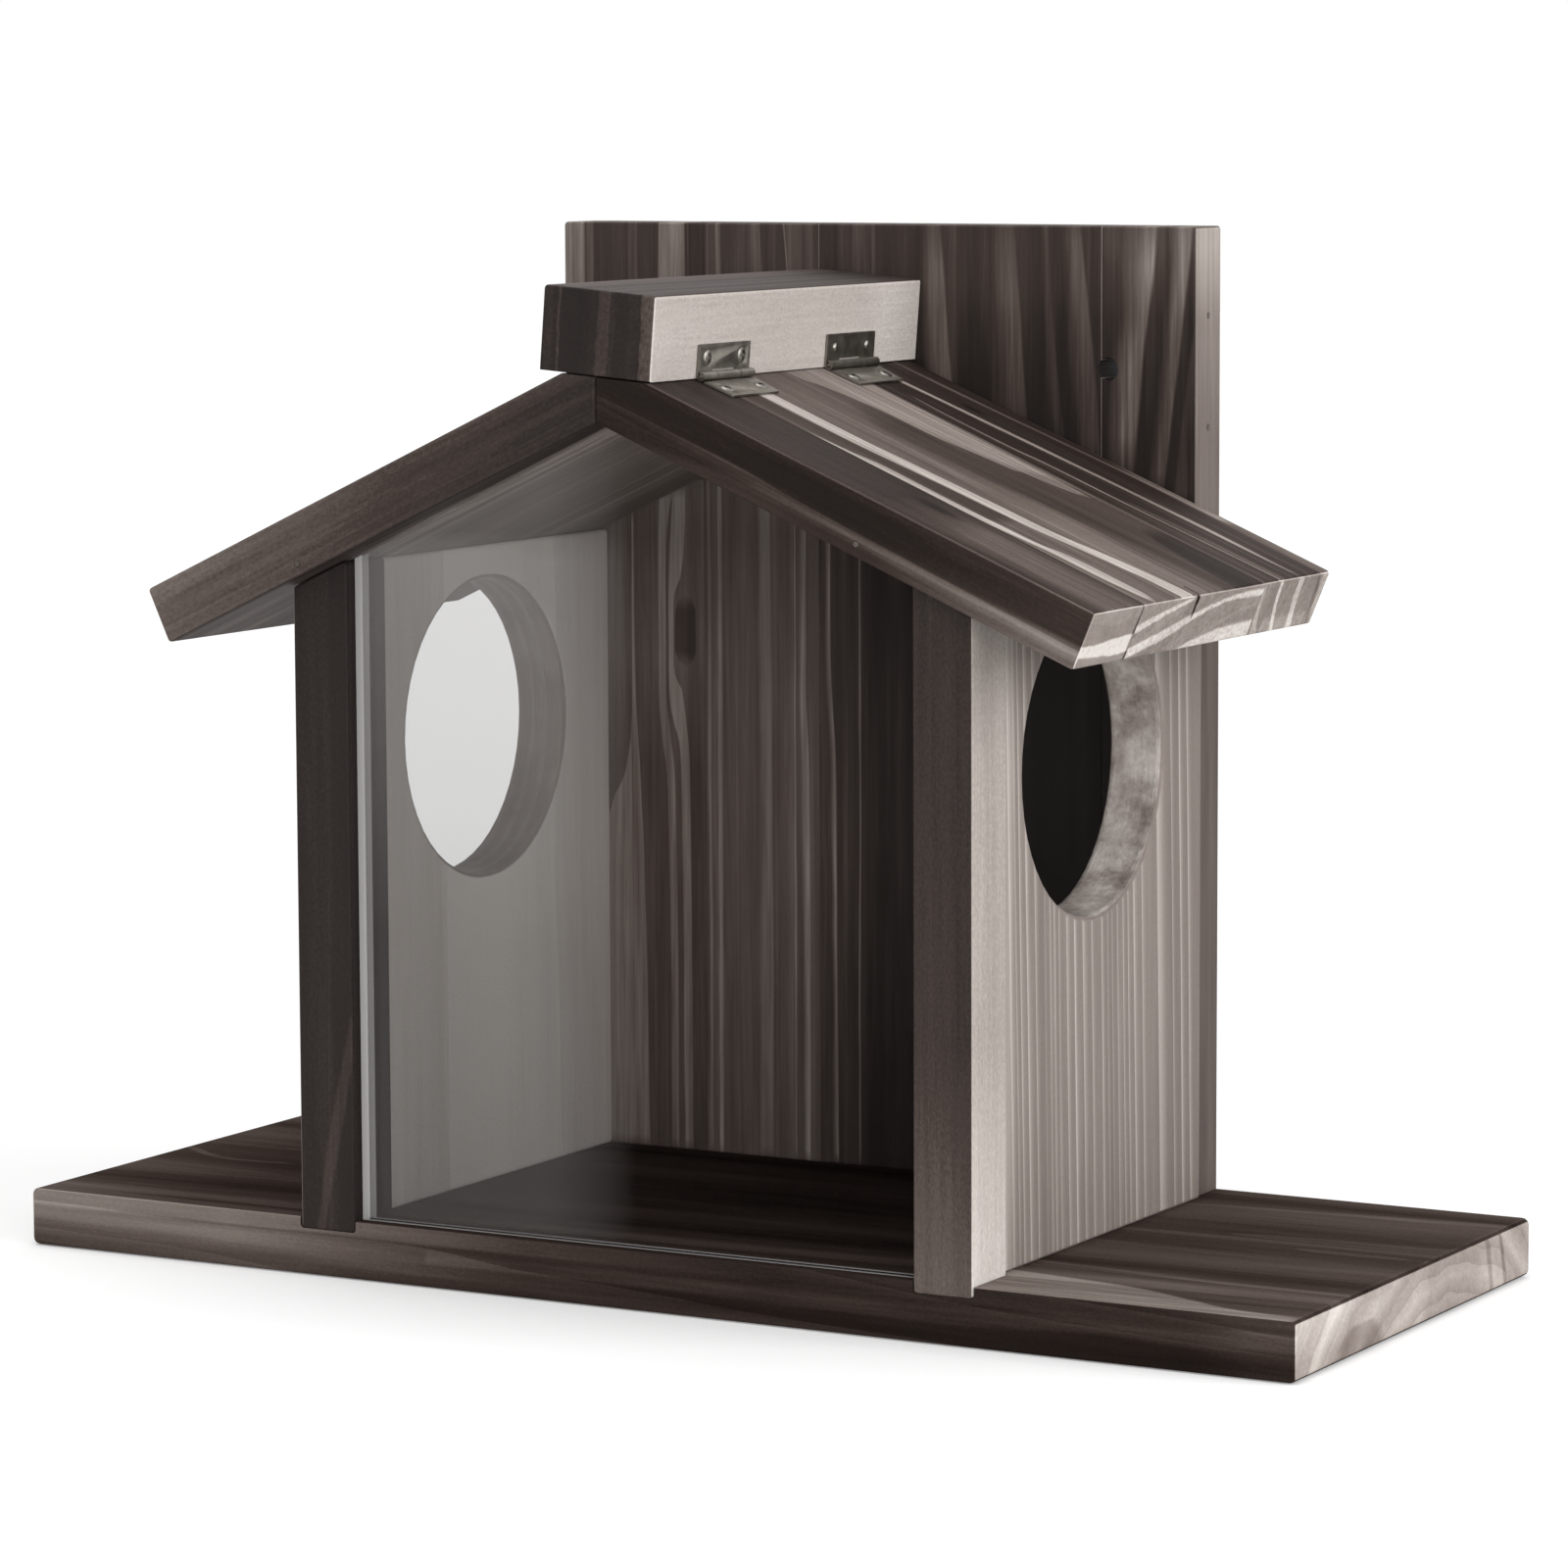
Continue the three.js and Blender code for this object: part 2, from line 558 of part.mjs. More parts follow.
const blockScrews = [];
const lidScrews = [];
hingeShares.forEach((share, i) => {
  const centre = share * baseDepth;
  const place = ['front', 'rear'][i];
  const blockScrew = [hingeScrew, smallScrew][i];
  const onBlock = new THREE.Group();
  onBlock.position.set(pivot.x, centre, pivot.y);
  onBlock.rotation.y = blockTilt - Math.PI / 2;
  house.add(onBlock);
  blockScrews.push(...addLeaf(onBlock, `${place}_hinge_fixed_leaf`, fixedLeaf, blockScrew, 1, fixedKnuckles));
  const onLid = new THREE.Group();
  onLid.position.y = centre;
  onLid.rotation.y = rightPitch;
  lid.add(onLid);
  lidScrews.push(...addLeaf(onLid, `${place}_hinge_moving_leaf`, movingLeaf, hingeScrew, -1, movingKnuckles));
  const pinEnd = hingeLength / 2 - knuckleGap / 2;
  const pin = turned([
    [0, -pinEnd],
    [pinRadius - pinPlay, -pinEnd],
    [pinRadius, pinPlay - pinEnd],
    [pinRadius, pinEnd - pinPlay],
    [pinRadius - pinPlay, pinEnd],
    [0, pinEnd],
  ]).rotateX(Math.PI / 2);
  const pinMesh = piece(`${place}_hinge_pin`, toSolid(pin), 'steel');
  pinMesh.position.copy(onBlock.position);
  house.add(pinMesh);
});

// Ridge block, drawn from the middle of its underside, with the fixed leaves screwed to its right face
const blockOutline = outline([
  [-blockWidth / 2, 0],
  [blockWidth / 2, 0],
  [blockWidth / 2, blockHeight, boardCorner],
  [-blockWidth / 2, blockHeight, boardCorner],
]);
const block = toSolid(alongY(blockOutline, -roofOverhang, backFront - seat, boardEase));
tiltedBlock.add(piece('ridge_block', drilled(block, tiltedBlock, [blockScrew, ...blockScrews]), 'wood'));

// The lid: the right half of the roof, glued up from three staves, drawn from the hinge pin. Turning its
// group the negative way about Y, by a little more than a right angle, opens it.
const lidOutline = roofOutline(1, rightSlope).map(([x, z, radius]) => [x - pivot.x, z - pivot.y, radius]);
const lidBack = lidDepth - roofOverhang;
const crackAt = ([reach, depth]) => {
  const at = apex.clone().addScaledVector(slopeDown(1), reach).addScaledVector(slopeOut(1), -depth).sub(pivot);
  return [at.x, at.y];
};
const crack = alongY(outline([
  [rightSlope - crackRun, 0],
  [rightSlope - crackRun, -overrun],
  [rightSlope + overrun, -overrun],
  [rightSlope + overrun, crackDepth],
  [rightSlope, crackDepth],
].map(crackAt)), crackReach - roofOverhang - crackWidth / 2, crackReach - roofOverhang + crackWidth / 2);
const lidBoard = toSolid(alongY(outline(lidOutline), -roofOverhang, lidBack, boardEase))
  .subtract(toSolid(crack));
sawn(drilled(lidBoard, lid, [lidFrontNail, ...lidScrews]), 'y', -roofOverhang, lidBack, roofJointShares)
  .forEach((stave, i) => lid.add(piece(`lid_stave_${i + 1}`, stave, 'wood')));

export default feeder;
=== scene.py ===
# %% [markdown]
# # A squirrel feeder box, dressed in Blender
#
# The real object is a small house of stained softwood on a wide shelf. Its right roof half is a lid
# on two little hinges, a clear sheet closes the front, and each side panel has a round entry.
# Every board, sheet, leaf and screw comes ready-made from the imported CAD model, so this lesson is
# mostly about wood: how one way of describing a sawn board can give twenty boards that differ as
# real ones do.

import math

import bmesh
import bpy
import numpy as np
from mathutils import Matrix, Vector


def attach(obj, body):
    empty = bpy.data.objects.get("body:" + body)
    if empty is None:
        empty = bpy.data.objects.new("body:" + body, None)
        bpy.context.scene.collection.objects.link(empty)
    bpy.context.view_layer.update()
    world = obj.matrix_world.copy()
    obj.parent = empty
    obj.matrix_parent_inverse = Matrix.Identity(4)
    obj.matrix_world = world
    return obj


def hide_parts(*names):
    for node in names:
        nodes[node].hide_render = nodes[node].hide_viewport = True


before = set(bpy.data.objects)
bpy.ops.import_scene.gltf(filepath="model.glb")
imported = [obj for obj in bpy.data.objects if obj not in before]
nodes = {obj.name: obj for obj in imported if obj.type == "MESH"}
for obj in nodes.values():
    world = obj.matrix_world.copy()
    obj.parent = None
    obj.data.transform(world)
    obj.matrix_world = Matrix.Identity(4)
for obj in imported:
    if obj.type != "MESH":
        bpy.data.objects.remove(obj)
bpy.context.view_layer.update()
print("parts loaded:", len(nodes))

# %% [markdown]
# The camera comes early, because every later choice is judged through it. It stands to the right of
# the house and a little above its eaves, with a long lens, as a product photographer would have it.
# A camera's own axes are easy to write down from an azimuth, an elevation and a small roll.

# %% Camera at the photograph's angle
CAMERA_AZIMUTH, CAMERA_ELEVATION, CAMERA_ROLL = (math.radians(d) for d in (29.146, 6.705, -0.239))
CAMERA_PLACE = Vector((0.74271, -1.31856, 0.30291))
LENS_MM, SENSOR_MM = 135.979, 36.0


def camera_axes(azimuth, elevation, roll):
    """Right, up and back directions of a camera that looks along +Y at azimuth 0 and then turns left."""
    forward = Vector((-math.sin(azimuth) * math.cos(elevation),
                      math.cos(azimuth) * math.cos(elevation), -math.sin(elevation)))
    level = Vector((math.cos(azimuth), math.sin(azimuth), 0))
    upright = level.cross(forward)
    right = level * math.cos(roll) + upright * math.sin(roll)
    up = upright * math.cos(roll) - level * math.sin(roll)
    return right, up, -forward


camera = bpy.data.objects.new("camera", bpy.data.cameras.new("camera"))
bpy.context.scene.collection.objects.link(camera)
turn = Matrix(camera_axes(CAMERA_AZIMUTH, CAMERA_ELEVATION, CAMERA_ROLL)).transposed().to_4x4()
camera.matrix_world = Matrix.Translation(CAMERA_PLACE) @ turn
camera.data.lens, camera.data.sensor_width = LENS_MM, SENSOR_MM
bpy.context.scene.camera = camera
print("camera at", [round(v, 3) for v in CAMERA_PLACE])

# %% [markdown]
# A finish is a small network of nodes, and long networks are hard to read. So one class wraps a
# socket: sums written with it, such as `1 - line * 0.5`, add their Math nodes by themselves. One
# method of the finish adds any other node. Everything after this reads like ordinary arithmetic.

# %% A socket that can be added and multiplied
class Wire:
    """One value that flows through a finish. Arithmetic on it adds the Math nodes that do the sum."""

    def __init__(self, finish, socket):
        self.finish, self.socket = finish, socket

    def maths(self, operation, *others, clamp=False):
        values = dict(enumerate((self, *others)))
        return self.finish.node("ShaderNodeMath", {"operation": operation, "use_clamp": clamp}, values)

    def __add__(self, other):
        return self.maths("ADD", other)

    def __sub__(self, other):
        return self.maths("SUBTRACT", other)

    def __rsub__(self, other):
        return self.finish.number(other).maths("SUBTRACT", self)

    def __mul__(self, other):
        return self.maths("MULTIPLY", other)

    def __truediv__(self, other):
        return self.maths("DIVIDE", other)

    def __pow__(self, other):
        return self.maths("POWER", other)

    __radd__, __rmul__ = __add__, __mul__

    def clamped(self):
        return self.maths("ADD", 0.0, clamp=True)

    def size(self):
        return self.maths("ABSOLUTE")


# %% A finish, its nodes and its shader
class Finish:
    """One material. It starts with a Principled shader, and node() adds what feeds it."""

    def __init__(self, name):
        self.material = bpy.data.materials.new(name)
        self.material.use_nodes = True
        self.tree = self.material.node_tree
        self.shader = self.tree.nodes["Principled BSDF"]

    def node(self, kind, settings=None, values=None, out=0):
        """Adds a node of that kind, applies its settings (a ramp's stops among them), then its sockets."""
        made = self.tree.nodes.new(kind)
        settings = dict(settings or {})
        stops = settings.pop("stops", None)
        for key, value in settings.items():
            setattr(made, key, value)
        if stops:
            ramp = made.color_ramp
            while len(ramp.elements) < len(stops):
                ramp.elements.new(0.5)
            for element, (place, colour) in zip(ramp.elements, stops):
                element.position, element.color = place, (*colour, 1)
        for key, value in (values or {}).items():
            self.plug(value, made.inputs[key])
        return Wire(self, made.outputs[out])

    def plug(self, value, socket):
        if isinstance(value, Wire):
            self.tree.links.new(value.socket, socket)
        else:
            socket.default_value = value

    def number(self, value):
        """A plain number as a wire, for sums that begin with it."""
        return self.node("ShaderNodeMath", {"operation": "ADD"}, {0: float(value), 1: 0.0})

    def shade(self, **sockets):
        """Plugs values or wires into the shader: base_color feeds Base Color, and so on."""
        for name, value in sockets.items():
            self.plug(value, self.shader.inputs[name.replace("_", " ").title()])
        return self.material


# %% [markdown]
# Colours are easiest to compare with a photograph in the numbers that a screen uses, from 0 to 255.
# Blender's sockets want linear light, so one short formula turns the one into the other. The stain
# itself is a single scale of shades, from the near-black of its deepest grain to the chalky cream
# where it barely took. Every board uses this scale, which keeps the whole object one family.

# %% The stain's scale of shades
def linear(red, green, blue):
    """Screen shades 0-255 as linear light: ((s/255 + 0.055) / 1.055) ** 2.4."""
    return tuple(((s / 255 + 0.055) / 1.055) ** 2.4 for s in (red, green, blue))


STAIN = [
    (0.00, linear(22, 17, 15)), (0.15, linear(38, 31, 28)), (0.30, linear(65, 55, 51)),
    (0.45, linear(96, 85, 80)), (0.60, linear(128, 118, 112)), (0.75, linear(161, 152, 146)),
    (0.90, linear(193, 185, 179)), (1.00, linear(214, 208, 202)),
]
print("shades in the stain's scale:", len(STAIN))

# %% [markdown]
# A sawn board is a window cut into a log. The log's growth rings are nested tubes round its heart,
# so if the heart's place beside the board is known, the distance from it gives the ring that any
# point of the board lies in, on its faces and its end grain alike. That is why a solid pattern is
# used here, and not a picture laid on each face: bands on top of a board run over its edge and
# turn into arcs on its end, with no seam. Stain soaks into the soft early part of each ring and
# leaves the hard late part pale, so the thin lines are light on a dark ground.

# %% Directions of the boards, in the object's frame
def tilted(degrees, side=1):
    """Down a board's slope, (side * cos, 0, -sin), and out of its top face, (side * sin, 0, cos)."""
    angle = math.radians(degrees)
    return (side * math.cos(angle), 0, -math.sin(angle)), (side * math.sin(angle), 0, math.cos(angle))


DOWN_RIGHT, LID_NORMAL = tilted(23.0)
DOWN_LEFT, LEFT_NORMAL = tilted(24.9, side=-1)
ACROSS_BLOCK, BLOCK_NORMAL = tilted(4.6)
X, Y, Z = (1, 0, 0), (0, 1, 0), (0, 0, 1)
LEFTWARD, FRONTWARD, DOWNWARD = (-1, 0, 0), (0, -1, 0), (0, 0, -1)
RIDGE = (-0.0023, 0, 0.2382)
BLOCK_FOOT = (-0.0024, 0, 0.2332)
MILLIMETRE = 0.001
print("the lid runs down along", [round(v, 3) for v in DOWN_RIGHT])


def board_turn(along, across):
    """Euler angles of the frame whose x runs along the grain and whose y runs across the board."""
    a, b = Vector(along), Vector(across)
    return Matrix((a, b, a.cross(b))).transposed().to_euler()


def beyond(direction, distance, origin=(0, 0, 0), soft=0.15):
    """A half space for a stain patch: further than distance mm along direction, with a soft edge in mm."""
    direction = Vector(direction).normalized()
    return tuple(direction), direction.dot(Vector(origin)) + distance * MILLIMETRE, soft * MILLIMETRE


# %% [markdown]
# Some marks on a board can't be left to chance, because the eye knows them: the pale streaks on the
# lid, the arcs on its end. Such a mark is a band between two curves, and a Float Curve node is the
# handiest way to hold a curve, since it only needs a few points and draws the line through them.

# %% A band between two curves
def curve(finish, place, points):
    """A smooth line through (place, height) points, all from 0 to 1, as a wire of its height."""
    made = finish.tree.nodes.new("ShaderNodeFloatCurve")
    line = made.mapping.curves[0]
    while len(line.points) < len(points):
        line.points.new(0.5, 0.5)
    for point, at in zip(line.points, points):
        point.location, point.handle_type = at, "AUTO_CLAMPED"
    made.mapping.update()
    finish.plug(place, made.inputs["Value"])
    return Wire(finish, made.outputs[0])


def between_lines(finish, run, over, points, soft_low, soft_high, ends=3.0):
    """1 between two lines and 0 outside them. points: (place along run, low, high) in mm.

    The edges fade over soft_low and soft_high mm and the two ends over ends mm, all inside the band."""
    first, last = points[0][0], points[-1][0]
    base, top = min(low for _, low, _ in points), max(high for *_, high in points)
    place = (run - first) / (last - first)
    low, high = (curve(finish, place, [((p[0] - first) / (last - first), (p[column] - base) / (top - base))
                                       for p in points]) * (top - base) + base for column in (1, 2))
    inside = ((over - low) / soft_low).clamped() * ((high - over) / soft_high).clamped()
    return inside * ((run - first) / ends).clamped() * ((last - run) / ends).clamped()


# %% [markdown]
# With these helpers a whole board fits in one function. It adds up a shade from 0 to 1 and sends it
# through the stain's scale at the end. The parts of that sum are, in order: broad bands and thin late
# wood from the rings, fine fibres and a silky drift along the grain, pores, then the placed bands and
# the patches where the stain was thick or thin.

# %% One stained board
KNOT_LENGTH, KNOT_REACH, KNOT_DARK = 2.7, 2.2, 0.22
RIM_SOFT, OUTLINE_WIDTH = 0.4, 1.3


def stained(name, along, across, origin=(0, 0, 0), heart=(0, -60), pitch=4.5, taper=0.0, tone=0.35,
            ring=0.15, sharp=6.0, band=0.2, band_size=9.0, fibre=0.10, speckle=0.05, wander=3.0,
            rings_on=None, patches=(), bands=(), knots=(), bore=None, seed=0.0, roughness=0.62,
            relief=1.0, gloss=0.18):
    """A finish for one board. a, b and c are millimetres along, across and through it.

    The ring coordinate is r = sqrt((b - heart_b - taper * a)^2 + (c - heart_c)^2) + wander * noise.
    A ring's pale line is fraction(r / pitch) ** sharp; broad bands are noise that depends on r alone.
    rings_on: a half space that the pale lines keep to. patches: (gain, half space, half space ...).
    bands: (plane, gain, soft, points, half space ...), where plane names what points run along and
    over, "ab", "cb" or the like, and c counts from the board's face. soft is one number or two.
    knots: (a, b, size). bore: (a, b, radius, gain, mottle, outline) of a hole through the board,
    whose wall is shaded by gain and mottled, and whose rim is darkened by outline.
    gloss: how much the surface mirrors; low on faces seen at a slant.
    """
    f = Finish(name)
    point = f.node("ShaderNodeTexCoord", out="Object")
    board = f.node("ShaderNodeMapping", {"vector_type": "TEXTURE"}, {
        "Vector": point, "Location": origin, "Rotation": board_turn(along, across),
        "Scale": (MILLIMETRE,) * 3})
    parts = f.tree.nodes.new("ShaderNodeSeparateXYZ")
    f.plug(board, parts.inputs[0])
    a, b, c = (Wire(f, parts.outputs[i]) for i in range(3))
    axes = {"a": a, "b": b, "c": c}

    def grain(stretch, scale, detail=2.0, shift=0.0):
        """Noise around 0, drawn out along the grain: stretch is how much slower it changes that way."""
        drawn = f.node("ShaderNodeVectorMath", {"operation": "MULTIPLY_ADD"}, {
            0: board, 1: (scale / stretch, scale, scale), 2: (seed + shift,) * 3})
        return f.node("ShaderNodeTexNoise", {"noise_dimensions": "3D"}, {
            "Vector": drawn, "Scale": 1.0, "Detail": detail, "Roughness": 0.55}) - 0.5

    def along_rings(r, scale, detail, shift):
        """Noise around 0 that depends on the ring alone."""
        return f.node("ShaderNodeTexNoise", {"noise_dimensions": "1D"}, {
            "W": r * scale + (seed + shift), "Scale": 1.0, "Detail": detail, "Roughness": 0.5}) - 0.5

    def within(spaces):
        """1 inside all of those half spaces, 0 outside any of them."""
        total = None
        for direction, distance, soft in spaces:
            reached = f.node("ShaderNodeVectorMath", {"operation": "DOT_PRODUCT"},
                             {0: point, 1: direction}, "Value")
            inside = ((reached - distance) / soft).clamped()
            total = inside if total is None else total * inside
        return total

    drift = grain(9.0, 0.035, 2.0, 3.1)
    across_heart = b - (a * taper + heart[0])
    through_heart = c - heart[1]
    r = (across_heart * across_heart + through_heart * through_heart) ** 0.5 + drift * (2 * wander)
    core = None
    for knot_a, knot_b, size in knots:
        away = ((((a - knot_a) / KNOT_LENGTH) ** 2.0 + (b - knot_b) ** 2.0) ** 0.5) / size
        pull = (KNOT_REACH - away).clamped()
        r = r + pull * pull * (size * 0.9)
        middle = (1.2 - away).clamped()
        core = middle if core is None else core + middle

    late = (r / pitch + along_rings(r, 0.06, 1.0, 7.7) * 2.4).maths("FRACT") ** sharp
    if rings_on:
        late = late * within([rings_on])
    broad = along_rings(r, 1.0 / band_size, 2.0, 11.3)
    fine = grain(30.0, 0.9, 3.0, 5.5)
    silk = grain(14.0, 0.22, 2.0, 9.2)
    pores = grain(1.6, 1.5, 2.0, 1.7)
    shade = broad * (3.2 * band) + late * ring * (broad * 1.5 + 0.8)
    shade = shade + fine * (2 * fibre) + silk * (1.8 * fibre)
    shade = shade + pores * (2 * speckle) + (tone - 0.25 * ring)
    for plane, gain, soft, points, *spaces in bands:
        soft_low, soft_high = soft if isinstance(soft, tuple) else (soft, soft)
        run, over = (axes[letter] for letter in plane)
        ends = 1.0 if "c" in plane else max(4.0, 3 * soft_low)
        mark = between_lines(f, run, over + silk * 1.2, points, soft_low, soft_high, ends)
        shade = shade + (mark * within(spaces) if spaces else mark) * (gain + fine * gain)
    for gain, *spaces in patches:
        shade = shade + within(spaces) * gain
    if core is not None:
        shade = shade - core * KNOT_DARK
    if bore:
        reach = ((a - bore[0]) ** 2.0 + (b - bore[1]) ** 2.0) ** 0.5
        *_, radius, gain, mottled, outlined = bore
        wall = ((radius + 0.5 - reach) / RIM_SOFT).clamped()
        mottle = grain(1.0, 0.07, 4.0, 15.0) * 0.9 + grain(1.0, 0.5, 3.0, 16.0) * 0.25
        outline = ((radius + OUTLINE_WIDTH - reach) / 0.5).clamped() * (wall * -1.0 + 1.0)
        shade = shade + wall * (mottle * mottled + gain) - outline * outlined
    colour = f.node("ShaderNodeValToRGB", {"stops": STAIN}, {0: shade})
    height = fine * 0.5 + late * 0.5 + pores * 0.7
    bump = f.node("ShaderNodeBump", {}, {"Strength": 0.5 * relief, "Distance": 0.0003, "Height": height})
    f.shader.inputs["Specular IOR Level"].default_value = gloss
    return f.shade(base_color=colour, roughness=fine * 0.2 - late * 0.08 + roughness, normal=bump)


def dress(material, *names):
    """Gives the named CAD parts that finish."""
    for name in names:
        slots = nodes[name].data.materials
        slots.clear()
        slots.append(material)
    print(material.name, "on", ", ".join(names))


# %% [markdown]
# The shelf is one wide flat-sawn board, so its heart lies well below it and the bands on top are
# broad. Its ends took the stain thinly and are nearly white. The camera sees its top at a slant of
# only a few degrees, where even a matt surface mirrors the room, so it is given no gloss at all.

# %% Shelf
SHELF_END, POST_OUTSIDE = 182.1, 96.7
SHELF_FRONT, SHELF_TOP, SHELF_RIGHT = beyond(FRONTWARD, 68.0), beyond(Z, 14.7), beyond(X, SHELF_END)
dress(stained(
    "shelf_wood", X, Y, heart=(10, -75), pitch=7.0, taper=0.06, tone=0.25, ring=0.10, sharp=3.0,
    band=0.10, band_size=9.0, wander=6.0, fibre=0.06, seed=4.0, relief=1.3, gloss=0.0,
    bands=[
        ("ab", 0.24, (1.0, 1.5), [(90, -72, -43), (110, -72, -45.5), (130, -72, -49), (150, -72, -56.5),
                                  (165, -72, -62), (184, -72, -63.5)], SHELF_TOP),
        ("ab", 0.09, 1.0, [(94, -33, -29.5), (120, -35, -31.5), (150, -37, -33),
                           (184, -37.5, -33.5)], SHELF_TOP),
        ("ab", 0.07, 1.2, [(94, 14, 19.5), (140, 15, 20), (184, 16, 21)], SHELF_TOP),
        ("ab", 0.10, 1.5, [(94, 52, 55), (140, 56, 61), (184, 60, 66)], SHELF_TOP),
        ("ab", 0.10, 1.5, [(-184, -73, -61.5), (-140, -73, -61.8), (-90, -73, -62.5)], SHELF_TOP),
        ("ab", 0.10, 0.8, [(-182, 0, 4), (-175, -4, 0), (-168, -8, -4.5), (-158, -10.3, -7),
                           (-140, -8, -5.5)], SHELF_TOP),
        ("ab", 0.05, 1.0, [(-184, 9.5, 13), (-150, 10, 13), (-130, 10, 12)], SHELF_TOP),
        ("cb", -0.12, 0.8, [(0, 50.5, 53.8), (8, 48.5, 51.8), (15, 46.5, 49.8)], SHELF_RIGHT),
        ("cb", -0.15, 0.8, [(0, 59.5, 62.6), (8, 57.5, 60.2), (15, 55.5, 58)], SHELF_RIGHT),
        ("cb", -0.13, 4.0, [(-1, -46, -14), (4, -43, -17), (8, -38, -22)], SHELF_RIGHT),
        ("ac", 0.07, (1.5, 1.5), [(-60, 5.5, 10), (60, 5, 10), (150, 6, 11), (190, 6, 13)], SHELF_FRONT)],
    patches=[
        (0.51, SHELF_RIGHT), (0.50, beyond(LEFTWARD, SHELF_END)), (0.12, SHELF_TOP, beyond(X, 90, soft=10)),
        (0.03, SHELF_TOP, beyond(LEFTWARD, 80, soft=20)),
        (0.09, SHELF_TOP, beyond(LEFTWARD, 135, soft=45)),
        (0.10, SHELF_RIGHT, beyond(Z, 4, soft=7), beyond(FRONTWARD, 15, soft=20)),
        (-0.07, SHELF_RIGHT, beyond(Y, 6, soft=6), beyond(FRONTWARD, -46, soft=6)), (-0.03, SHELF_FRONT),
        (-0.08, SHELF_FRONT, beyond(DOWNWARD, -9, soft=6)), (0.07, SHELF_FRONT, beyond(X, 155, soft=15)),
        (0.26, SHELF_FRONT, beyond(LEFTWARD, 30, soft=90)),
        (0.14, SHELF_FRONT, beyond(LEFTWARD, -40, soft=80), beyond(Z, 10.4, soft=1.0))]), "base_board")

# %% [markdown]
# The posts are plain dark battens with a fine stipple from the brush, pale only on their outer faces
# and a little paler towards the foot, where the brush ran dry.

# %% Posts
dress(stained(
    "right_post_wood", Z, X, heart=(-60, 110), pitch=6.0, tone=0.235, ring=0.04, band=0.05, fibre=0.05,
    speckle=0.10, seed=1.0, relief=1.8,
    patches=[
        (0.58, beyond(X, POST_OUTSIDE)), (0.21, beyond(DOWNWARD, -75, soft=60)),
        (-0.06, beyond(X, 90.5, soft=2))]),
    "right_post")
dress(stained(
    "left_post_wood", Z, X, heart=(60, 60), pitch=6.0, tone=0.19, ring=0.04, band=0.06, fibre=0.05,
    speckle=0.08, seed=2.0, relief=1.6,
    bands=[
        ("ab", 0.10, 1.0, [(6, -94, -91), (40, -88, -83.5), (75, -80, -77)], beyond(FRONTWARD, 68.0))],
    patches=[(0.48, beyond(LEFTWARD, POST_OUTSIDE)), (-0.08, beyond(X, -88, soft=3))]), "left_post")

# %% [markdown]
# The side panels show the hard late wood as raised ribs, close together near the post and wider
# towards the back. Rings spread out like that where they near their heart, so the heart is put a
# little beyond the board's rear edge. The wall of each round entry is cut across the grain, so it
# drank the stain in blotches.

# %% Right side panel
ENTRY_HEIGHT, ENTRY_DEPTH, ENTRY_RADIUS = 136.21, -0.85, 39.0
RIGHT_FACE = beyond(X, 96.3)
dress(stained(
    "right_panel_wood", Z, Y, origin=(0.0965, 0, 0), heart=(74, -40), pitch=3.4, taper=-0.03, tone=0.67,
    ring=0.30, sharp=5.0, band=0.03, fibre=0.05, speckle=0.03, wander=0.8, seed=3.0, relief=1.8,
    rings_on=RIGHT_FACE, bore=(ENTRY_HEIGHT, ENTRY_DEPTH, ENTRY_RADIUS, 0.15, 1.2, 0.0),
    patches=[
        (-0.04, beyond(Y, 36, soft=8), RIGHT_FACE), (0.13, beyond(FRONTWARD, 44, soft=3), RIGHT_FACE)]),
    "right_side_panel")

# %% [markdown]
# The left panel is seen from the inside only. It hardly took any stain, and the edge of its entry is
# drawn by a thin dark line round its rim.

# %% Left side panel
dress(stained(
    "left_panel_wood", Z, Y, origin=(-0.0815, 0, 0), heart=(20, 190), pitch=6.0, taper=-0.02, tone=0.97,
    ring=0.06, sharp=3.0, band=0.05, band_size=14.0, fibre=0.04, speckle=0.03, wander=2.0, seed=8.0,
    bore=(ENTRY_HEIGHT, ENTRY_DEPTH, ENTRY_RADIUS, -0.36, 0.3, 0.4),
    patches=[
        (0.06, beyond(Y, -22, soft=0.8)), (-0.06, beyond(Y, 3, soft=0.8)),
        (-0.06, beyond(Y, 20, soft=30))]),
    "left_side_panel")
